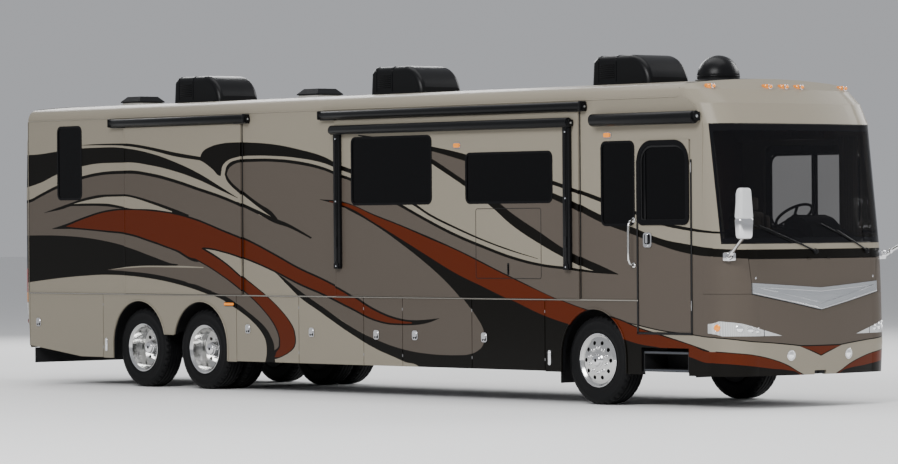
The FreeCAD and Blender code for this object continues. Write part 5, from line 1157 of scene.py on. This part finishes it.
def make_seats():
    """Two padded seats on pedestals, with side wings, piping, arm rests and head rest posts."""
    for order, across in enumerate((0.600, -0.480)):
        tag = "seat_%d_" % order
        base = block(tag + "pedestal", (4.985, across - 0.19, 1.2225), (5.375, across + 0.19, 1.535),
            cab_plastic, bevel=0.02)
        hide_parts("cab_seats")
        for part, along, half, up, ease in (("squab", (4.960, 5.445), 0.215, (1.542, 1.685), 5),
                                            ("back", (4.885, 5.025), 0.205, (1.690, 2.195), 5),
                                            ("headrest", (4.890, 5.005), 0.130, (2.205, 2.358), 6)):
            cushion(tag + part, along, around(across, half), up, ease)
        for side in (-1, 1):
            cushion("%sbolster_%d" % (tag, side + 1), (4.965, 5.430), around(across + side * 0.236, 0.032),
                (1.545, 1.712), 6)
            cushion("%swing_%d" % (tag, side + 1), (4.890, 5.060), around(across + side * 0.228, 0.032),
                (1.715, 2.150), 6)
        bead(tag + "piping", [(x, across + y, z) for x, y, z in (
            (5.0275, -0.150, 1.760), (5.0285, -0.150, 2.120), (5.0285, 0.150, 2.120),
            (5.0275, 0.150, 1.760))], 0.0045, cab_plastic, closed=True)
        for side in (-1, 1):
            inner, outer = span(across, side, 0.262, 0.306)
            block("%sarm_%d" % (tag, side + 1), (5.000, inner, 1.775), (5.330, outer, 1.825), leather,
                bevel=0.018, segments=4)
            stud("%spost_%d" % (tag, side + 1), (5.02, across + side * 0.075, 2.16), (-0.065, 0, 0.08),
                0.007, chrome, sides=12)


def make_cab():
    """Daylight behind the driver's window, dash furniture, lockers, curtains and floors."""
    # painted light: a glowing sheet standing in for the daylight seen through the driver's window
    side_block("driver_daylight", LEFT, (4.720, 6.120), (1.2270, 1.2320), (2.035, 2.845), daylight)
    side_block("driver_bar", LEFT, (5.375, 5.470), (1.217, 1.2265), (2.03, 2.85), gloss_black)
    bead("driver_gasket", rounded((4.710, 6.130), (2.025, 2.855), 0.11, 1.226), 0.016, gloss_black,
        closed=True)
    for order, across in enumerate((-0.62, -0.30, 0.33, 0.90)):
        for slat in range(4):
            up = 1.858 + slat * 0.019
            block("dash_vent_%d_%d" % (order, slat), (5.868, across - 0.055, up),
                (5.884, across + 0.055, up + 0.009), black_coat, bevel=0.002)
    bead("dash_rail", [(5.905, -0.70, 1.900), (5.860, -0.69, 1.915), (5.855, -0.30, 1.915),
        (5.905, -0.29, 1.900)], 0.011, chrome)
    for name, low, high, material, bevel, segments in (
            ("dash_binnacle", (5.905, 0.345, 2.045), (6.005, 0.855, 2.150), cab_plastic, 0.03, 4),
            ("dash_display", (5.868, 0.020, 1.800), (5.884, 0.270, 1.950), gloss_black, 0.006, 2),
            ("cab_bulkhead", (4.205, 0.36, 1.2225), (4.245, 1.215, 3.40), wood, 0.006, 2),
            ("door_bulkhead", (4.205, -1.215, 1.2225), (4.245, -0.36, 3.40), wood, 0.006, 2),
            ("side_console", (4.905, 1.010, 1.2225), (5.640, 1.215, 1.760), wood, 0.015, 2),
            ("overhead_left", (4.300, 1.015, 3.02), (5.780, 1.215, 3.40), wood, 0.012, 2),
            ("aisle_floor", (-6.60, -0.270, 1.2185), (4.200, 0.270, 1.2235), wood, 0.001, 2),
            ("cab_floor", (4.205, -1.225, 1.2180), (5.090, 1.225, 1.2220), carpet, 0.001, 2),
            ("cab_front_floor", (5.090, -0.780, 1.2180), (5.700, 1.225, 1.2220), carpet, 0.001, 2)):
        block(name, low, high, material, "coach", bevel, segments)
    for order in range(3):
        rear = 4.320 + order * 0.485
        block("overhead_door_%d" % order, (rear, 1.003, 3.045), (rear + 0.465, 1.014, 3.375), wood,
            bevel=0.004)
        stud("overhead_knob_%d" % order, (rear + 0.380, 0.990, 3.09), (0, 0.013, 0), 0.011, chrome,
            bevel=0.002)
    for name, side in SIDES:
        for fold in range(7):
            stud("curtain_%s_%d" % (name, fold), (5.870 + 0.040 * fold, side * (1.198 - 0.004 * (fold % 2)),
                1.93), (0, 0, 1.12), 0.022, curtain, bevel=0.006, sides=16)


# ------------------------------------------------------------------ roof, awnings, step, tail
COOLERS = (-4.330, -0.275, 3.790)
VENTS = (-5.935, -2.165)


def hoop(x):
    """A line over a cooler's shroud from one foot to the other, corners rounded."""
    half, foot, head, corner = 0.3315, CROWN + 0.030, CROWN + 0.3365, 0.070
    points = [(-half, foot), (-half, head - corner)]
    points += arc(corner - half, head - corner, corner, 180, 90, 6)[1:]
    points += arc(half - corner, head - corner, corner, 90, 0, 6)
    points.append((half, foot))
    return [(x, y, z) for y, z in points]


def make_coolers():
    """Seams, louvres, feet and screws on the first cooler, copied to the others."""
    first = COOLERS[0]
    parts = [bead("seam", hoop(first - 0.060), 0.005, gloss_black, None),
        bead("rear_seam", hoop(first - 0.360), 0.004, gloss_black, None)]
    for name, side in SIDES:
        for row in range(7):
            up = CROWN + 0.075 + row * 0.024
            parts.append(side_block("louvre", side, (first - 0.335, first - 0.090), (0.322, 0.3365),
                (up, up + 0.011), gloss_black, None))
        parts.append(plate("foot", side, around(first, 0.40), (0.322, 0.3425),
            (CROWN - 0.014, CROWN + 0.022), 0.008, black_coat, None))
    for row in range(6):
        up = CROWN + 0.085 + row * 0.026
        parts.append(block("rear_louvre", (first - 0.4985, -0.235, up), (first - 0.482, 0.235, up + 0.012),
            gloss_black, None))
    for across in (-0.20, 0.20):
        parts.append(stud("screw", (first - 0.15, across, CROWN + 0.330), (0, 0, 0.0085), 0.012,
            satin_silver, None, 0.002))
    trim = joined("cooler_trim_0", parts)
    for order, x in enumerate(COOLERS):
        if order:
            copy_of(trim, "cooler_trim_%d" % order, (x - first, 0, 0), body="coach")
    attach(trim, "coach")


def make_roof_gear():
    """Kerbs and hinges of the vents, skirt of the dome, roof seams and drip rails."""
    for order, x in enumerate(VENTS):
        tag = "vent_%d_" % order
        for part, long, wide, low, high, material, bevel in (
                ("kerb", 0.1945, 0.1945, -0.020, 0.0335, roof_pale, 0.006),
                ("flange", 0.232, 0.232, -0.016, 0.002, roof_pale, 0.004),
                ("ridge", 0.12, 0.006, 0.108, 0.1185, black_coat, 0.004)):
            block(tag + part, (x - long, -wide, CROWN + low), (x + long, wide, CROWN + high), material,
                bevel=bevel)
        for across in (-0.12, 0.12):
            stud("%shinge_%.0f" % (tag, across * 100), (x - 0.2115, across - 0.03, CROWN + 0.044),
                (0, 0.06, 0), 0.007, black_coat)
    dome = ((5.095, 0.0, CROWN), (0, 0, 1))
    set_on("dome_skirt", [(-0.030, 0.268), (0.010, 0.268), (0.018, 0.262), (0.020, 0.240)], dome,
        black_coat, steps=72)
    set_on("dome_seam", [(0.040, 0.244), (0.043, 0.2478), (0.050, 0.2490), (0.057, 0.2478), (0.060, 0.244)],
        dome, gloss_black, steps=72)
    for end, x in (("front", 5.764), ("rear", -6.744)):
        hits = [touch("roof", (x, across, 5), (0, 0, -1)) for across in spread(-1.262, 1.262, 24)]
        bead("roof_seam_" + end, lifted(hits, 0.001), 0.0045, seal_rubber)
    for name, side in SIDES:
        side_block("drip_rail_" + name, side, (-6.742, 5.764), (1.2925, 1.3035), (3.4735, 3.4835),
            champagne_plain)


AWNINGS = (("topper_rear", RIGHT, -4.830, -1.960, 3.404, 0.042, "coach", WALL_FACE, 0.008, 0.008),
           ("topper_front", RIGHT, -0.500, 4.270, 3.404, 0.042, "coach", WALL_FACE, 0.008, 0.008),
           ("topper_left", LEFT, -2.300, 4.100, 3.404, 0.042, "coach", WALL_FACE, 0.008, 0.008),
           ("entry_awning", RIGHT, 4.430, 6.130, 3.253, 0.060, "coach", WALL_FACE, 0.012, -0.012),
           ("patio", RIGHT, -0.260, 4.070, 3.222, 0.046, "slideout_front", FASCIA_FACE, 0.008, 0.008))


def make_awnings():
    """The rolled cloth with its seam and valance, end bolts and mounting brackets."""
    angle = math.radians(205)
    for tag, side, rear, front, height, radius, body, face, wrap, raised in AWNINGS:
        out = side * (face + radius + 0.004)
        roll = radius + wrap
        for part, end, y, up, thick, material, bevel, sides in (
                ("fabric_seam", 0.004, out - side * radius * math.cos(angle), radius * math.sin(angle),
                    0.0045, gloss_black, 0.0, 12),
                ("valance", 0.010, out + side * radius * 0.30, -radius * 0.955, 0.006, seal_rubber, 0.0,
                    12),
                ("roll", 0.016, side * (face + roll + 0.004), raised, roll, black_coat, 0.004, 40)):
            rod("%s_%s" % (tag, part), (rear + end, y, height + up), (front - end, y, height + up), thick,
                material, body, bevel, sides)
        for order, x in enumerate((rear - 0.0165, front + 0.0105)):
            stud("%s_end_bolt_%d" % (tag, order), (x, out, height), (0.006, 0, 0), radius * 0.28,
                satin_silver, body, 0.0015, 18)
        count = max(2, int((front - rear) / 0.9))
        shelf = height + radius * 0.80
        for order in range(count):
            side_block("%s_bracket_%d" % (tag, order), side,
                around(rear + (front - rear) * (order + 0.5) / count, 0.030),
                (face + 0.0025, face + 0.014), (shelf, shelf + 0.014), black_coat, body)
        if tag.startswith("topper"):
            for order, (end, way) in enumerate(((rear, 1), (front, -1))):
                side_block("%s_end_%d" % (tag, order), side, span(end, way, 0, 0.030),
                    (face + 0.004, face + 0.108), (height - 0.046, height + 0.062), black_coat, body, 0.010)
                side_block("%s_foot_%d" % (tag, order), side, span(end, way, 0, 0.260),
                    (face + 0.004, face + 0.060), (height - 0.054, height - 0.040), black_coat, body, 0.004)


def make_patio_arms():
    """Covers, channels, grips and pins on the patio awning's two folded arms."""
    body = "slideout_front"
    for order, x in enumerate((-0.175, 3.985)):
        tag = "patio_arm_%d_" % order
        for part, half, out, up, material, bevel in (
                ("cover", 0.060, (1.3260, 1.3680), (1.552, 3.190), black_coat, 0.008),
                ("channel", 0.010, (1.373, 1.3785), (1.630, 3.150), gloss_black, 0.002),
                ("grip", 0.014, (1.374, 1.388), (1.800, 1.920), seal_rubber, 0.005)):
            side_block(tag + part, RIGHT, around(x, half), out, up, material, body, bevel)
        for pin, up in enumerate((1.573, 2.360, 3.120)):
            stud("%spin_%d" % (tag, pin), (x, -1.370, up), (0, -0.0135, 0), 0.011, satin_silver, body,
                0.002, 18)


def make_step_trim():
    """Ribbed treads with nosings on the entry step."""
    for order, up in enumerate((0.425, 0.625)):
        side_block("step_nosing_%d" % order, RIGHT, (5.180, 5.893), (1.262, 1.2765),
            (up - 0.020, up + 0.0035), tread_grey, "entry_step")
        ribs = [side_block("rib", RIGHT, (5.200, 5.873), (0.935 + rib * 0.036, 0.947 + rib * 0.036),
            (up - 0.001, up + 0.0035), seal_rubber, None, 0.0015) for rib in range(9)]
        joined("step_ribs_%d" % order, ribs, "entry_step")


def make_tail():
    """Louvres, handle, high brake light, reversing camera, lamp trims and creases across the tail."""
    traces = []
    for row in range(10):
        traces.append(("louvre_%02d" % row, "engine_door", spread(-0.715, 0.715, 14),
            [1.190 + row * 0.0325] * 15, 0.003, 0.0085, black_coat))
    for order, across in enumerate((-0.725, -0.2417, 0.2417, 0.725)):
        traces.append(("louvre_post_%d" % order, "engine_door", [across] * 9, spread(1.172, 1.503, 8),
            0.004, 0.0095, black_coat))
    for name, side in SIDES:
        traces.append(("lamp_trim_" + name, "signal_lamps", [side * 1.125] * 17, spread(0.905, 1.515, 16),
            0.001, 0.006, chrome))
    for order, (up, material) in enumerate(((0.600, seal_rubber), (1.610, champagne_plain))):
        traces.append(("crease_%d" % order, "rear_cap", spread(-1.02, 1.02, 20), [up] * 21, 0.0005, 0.0045,
            material))
    for tag, node, places, heights, lift, radius, material in traces:
        hits = [from_astern(node, across, up) for across, up in zip(places, heights)]
        bead("tail_" + tag, lifted(hits, lift), radius, material,
            "engine_door" if "louvre" in tag else "coach")
    for name, node, level, near, far, half, up, material, bevel, segments in (
            ("tail_handle_well", "engine_door", 0.955, 0.004, 0.006, 0.085, (0.925, 0.985), gloss_black,
                0.003, 2),
            ("tail_handle", "engine_door", 0.955, 0.013, -0.004, 0.062, (0.948, 0.968), chrome, 0.003, 2),
            ("high_brake_lamp", "rear_cap", 3.040, 0.009, 0.010, 0.230, (3.020, 3.060), lamp_red, 0.006, 2),
            ("camera_hood", "rear_cap", 3.330, 0.018, 0.020, 0.055, (3.292, 3.362), black_coat, 0.016, 4)):
        x = from_astern(node, 0, level)[0].x
        block(name, (x - near, -half, up[0]), (x + far, half, up[1]), material,
            "engine_door" if node == "engine_door" else "coach", bevel, segments)
    eye = from_astern("rear_cap", 0, 3.330)[0].x - 0.0165
    set_on("camera_eye", [(0.0, 0.016), (0.004, 0.015), (0.007, 0.008), (0.008, 0.0)],
        ((eye, 0, 3.325), (-1, 0, 0)), gloss_black, steps=24)


# ------------------------------------------------------------------ wheel houses and underside
def wheel_house(name, side, places, radius, inner, tongue=None):
    """A dark liner over the wheels, open to the road."""
    draw_path(arch_points(places, radius, 0.400, side * inner, tongue=tongue, steps=18))
    select()
    bpy.ops.mesh.extrude_region_move(TRANSFORM_OT_translate={"value": (0, side * (1.2325 - inner), 0)})
    seal_up()
    skin = bpy.context.object.modifiers.new("skin", "SOLIDIFY")
    skin.thickness = 0.005
    skin.offset = 0
    bpy.ops.object.modifier_apply(modifier=skin.name)
    return settle(name, seal_rubber)


def make_underside():
    """Wheel-house liners, shock tubes beside the air springs, and the tail pipe."""
    for name, side in SIDES:
        wheel_house("wheel_house_front_" + name, side, (AXLES["front"],), 0.655, 0.62)
        wheel_house("wheel_house_rear_" + name, side, (AXLES["tag"], AXLES["drive"]), 0.598, 0.56, 0.73)
        for axle, lean in (("front", 0.20), ("drive", 0.18), ("tag", -0.18)):
            stud("shock_%s_%s" % (axle, name), (AXLES[axle] + lean, side * 0.475, 0.400),
                (lean * 0.7, side * 0.100, 0.370), 0.026, galvanised, bevel=0.004, sides=20)
    bead("tail_pipe", [(-6.20, 0.62, 0.520), (-6.45, 0.66, 0.500), (-6.62, 0.72, 0.470),
        (-6.72, 0.78, 0.420)], 0.045, galvanised)


set_camera()
set_studio()
wall_paint = body_paint("two_pack_paint", lined=True)
cap_paint = body_paint("two_pack_paint_caps", nosed=True)
door_paint = repaint(body_paint("two_pack_paint_engine_door"), engine_door_recipe)
screen_tint = repaint(finish("screen_glass", (0.004, 0.004, 0.005), 0.05, gloss=0.20), screen_recipe,
    "Alpha")
headlamp_lens = repaint(finish("headlamp_lens", (0.70, 0.71, 0.71), 0.07, 0.25, coat=1.0, gloss=0.6),
    headlamp_recipe)
lamp_lens = repaint(finish("lamp_lens", (0.30, 0.006, 0.004), 0.12, coat=0.6), lamp_recipe)
tinted = finish("tinted_glass", (0.0022, 0.0022, 0.0025), 0.07, gloss=0.12)
rubber = finish("tyre_rubber", (0.0042, 0.0043, 0.0048), 0.60, bump=0.25, gloss=0.16)
seal_rubber = finish("seal_rubber", (0.006, 0.006, 0.0065), 0.6, gloss=0.3)
black_coat = finish("black_powder_coat", (0.0050, 0.0052, 0.0058), 0.33, gloss=0.16)
tread_grey = finish("step_tread_grey", (0.060, 0.065, 0.075), 0.4, 0.4)
gloss_black = finish("gloss_black", (0.0028, 0.0028, 0.0034), 0.15, gloss=0.18)
alloy = finish("polished_alloy", (0.72, 0.72, 0.71), 0.16, 1.0)
chrome = finish("chrome", (0.86, 0.86, 0.87), 0.07, 1.0)
satin_silver = finish("silver_trim", (0.50, 0.52, 0.54), 0.26, 0.75)
mirror_glass = finish("mirror_glass", (0.88, 0.89, 0.90), 0.03, 1.0, grain=0.005)
frame_black = finish("chassis_black", (0.012, 0.012, 0.013), 0.6, gloss=0.3)
galvanised = finish("galvanised", (0.30, 0.30, 0.31), 0.5, 0.8)
cab_plastic = finish("cab_plastic", (0.018, 0.019, 0.022), 0.6, bump=0.2)
leather = finish("seat_leather", (0.24, 0.19, 0.135), 0.5, bump=0.35, bump_scale=160)
lamp_red = finish("lamp_red", (0.30, 0.006, 0.004), 0.12, coat=0.6)
lamp_amber = finish("lamp_amber", (0.85, 0.26, 0.015), 0.14, coat=0.6, glow=0.25)
lamp_lit = finish("lamp_reflector", (0.95, 0.96, 0.98), 0.12, 0.9, glow=0.12)
roof_pale = finish("roof_gelcoat", (0.46, 0.45, 0.42), 0.45, gloss=0.35)
champagne_plain = finish("champagne_trim", CHAMPAGNE, 0.35, 0.1, gloss=0.3, coat=0.3)
belt_trim = finish("belt_trim", (0.26, 0.245, 0.215), 0.25, 0.45, gloss=0.4)
# painted light: glows to stand in for daylight seen through the cab's window
daylight = finish("painted_daylight_glow", (0.33, 0.33, 0.335), 0.35, gloss=0.2, glow=2.2)
shell_white = finish("mirror_shell_white", (0.62, 0.63, 0.63), 0.22, coat=0.6)
wood = finish("cabin_wood", (0.10, 0.042, 0.018), 0.32, grain=0.35, scale=14, coat=0.3)
curtain = finish("pleated_curtain", (0.20, 0.17, 0.13), 0.85, bump=0.3)
carpet = finish("cab_carpet", (0.14, 0.115, 0.085), 0.95, bump=0.6, bump_scale=400)

names = list(frame["nodes"])
for material, starts, ends, listed in (
        (wall_paint, ("wall_", "bay_door", "slideout"), (), ("entry_door",)),
        (cap_paint, (), (), ("front_cap", "rear_cap", "roof", "hood")),
        (door_paint, (), (), ("engine_door",)),
        (tinted, (), ("_glass",), ("side_windows",)),
        (rubber, ("tyre_",), (), ()),
        (alloy, ("rim_",), (), ()),
        (frame_black, ("knuckle_",), (),
            ("chassis_frame", "axles", "engine_block", "mud_flaps", "entry_step")),
        (black_coat, (), (), ("awning_cases", "patio_awning", "roof_gear", "wipers")),
        (satin_silver, (), (), ("mirrors", "hood_trim")),
        (headlamp_lens, (), (), ("headlamps",)),
        (lamp_lens, (), (), ("signal_lamps",)),
        (galvanised, (), (), ("basement",)),
        (cab_plastic, (), (), ("dashboard", "steering_wheel")),
        (leather, (), (), ("cab_seats",)),
        (screen_tint, (), (), ("windshield",))):
    dress([name for name in names if name.startswith(starts) or name.endswith(ends) or name in listed],
        material)

for make in (make_tyres, make_wheel_trim, make_latches, make_belt_and_arches, make_fascia_trims,
        make_window_frames, make_entry_trim, make_side_lights, make_hatches, make_lamp_bowls, make_markers,
        make_wiper_blades, make_screen_trim, make_tow_socket, make_wing_trim, make_mirrors, make_seats,
        make_cab, make_coolers, make_roof_gear, make_awnings, make_patio_arms, make_step_trim, make_tail,
        make_underside):
    make()
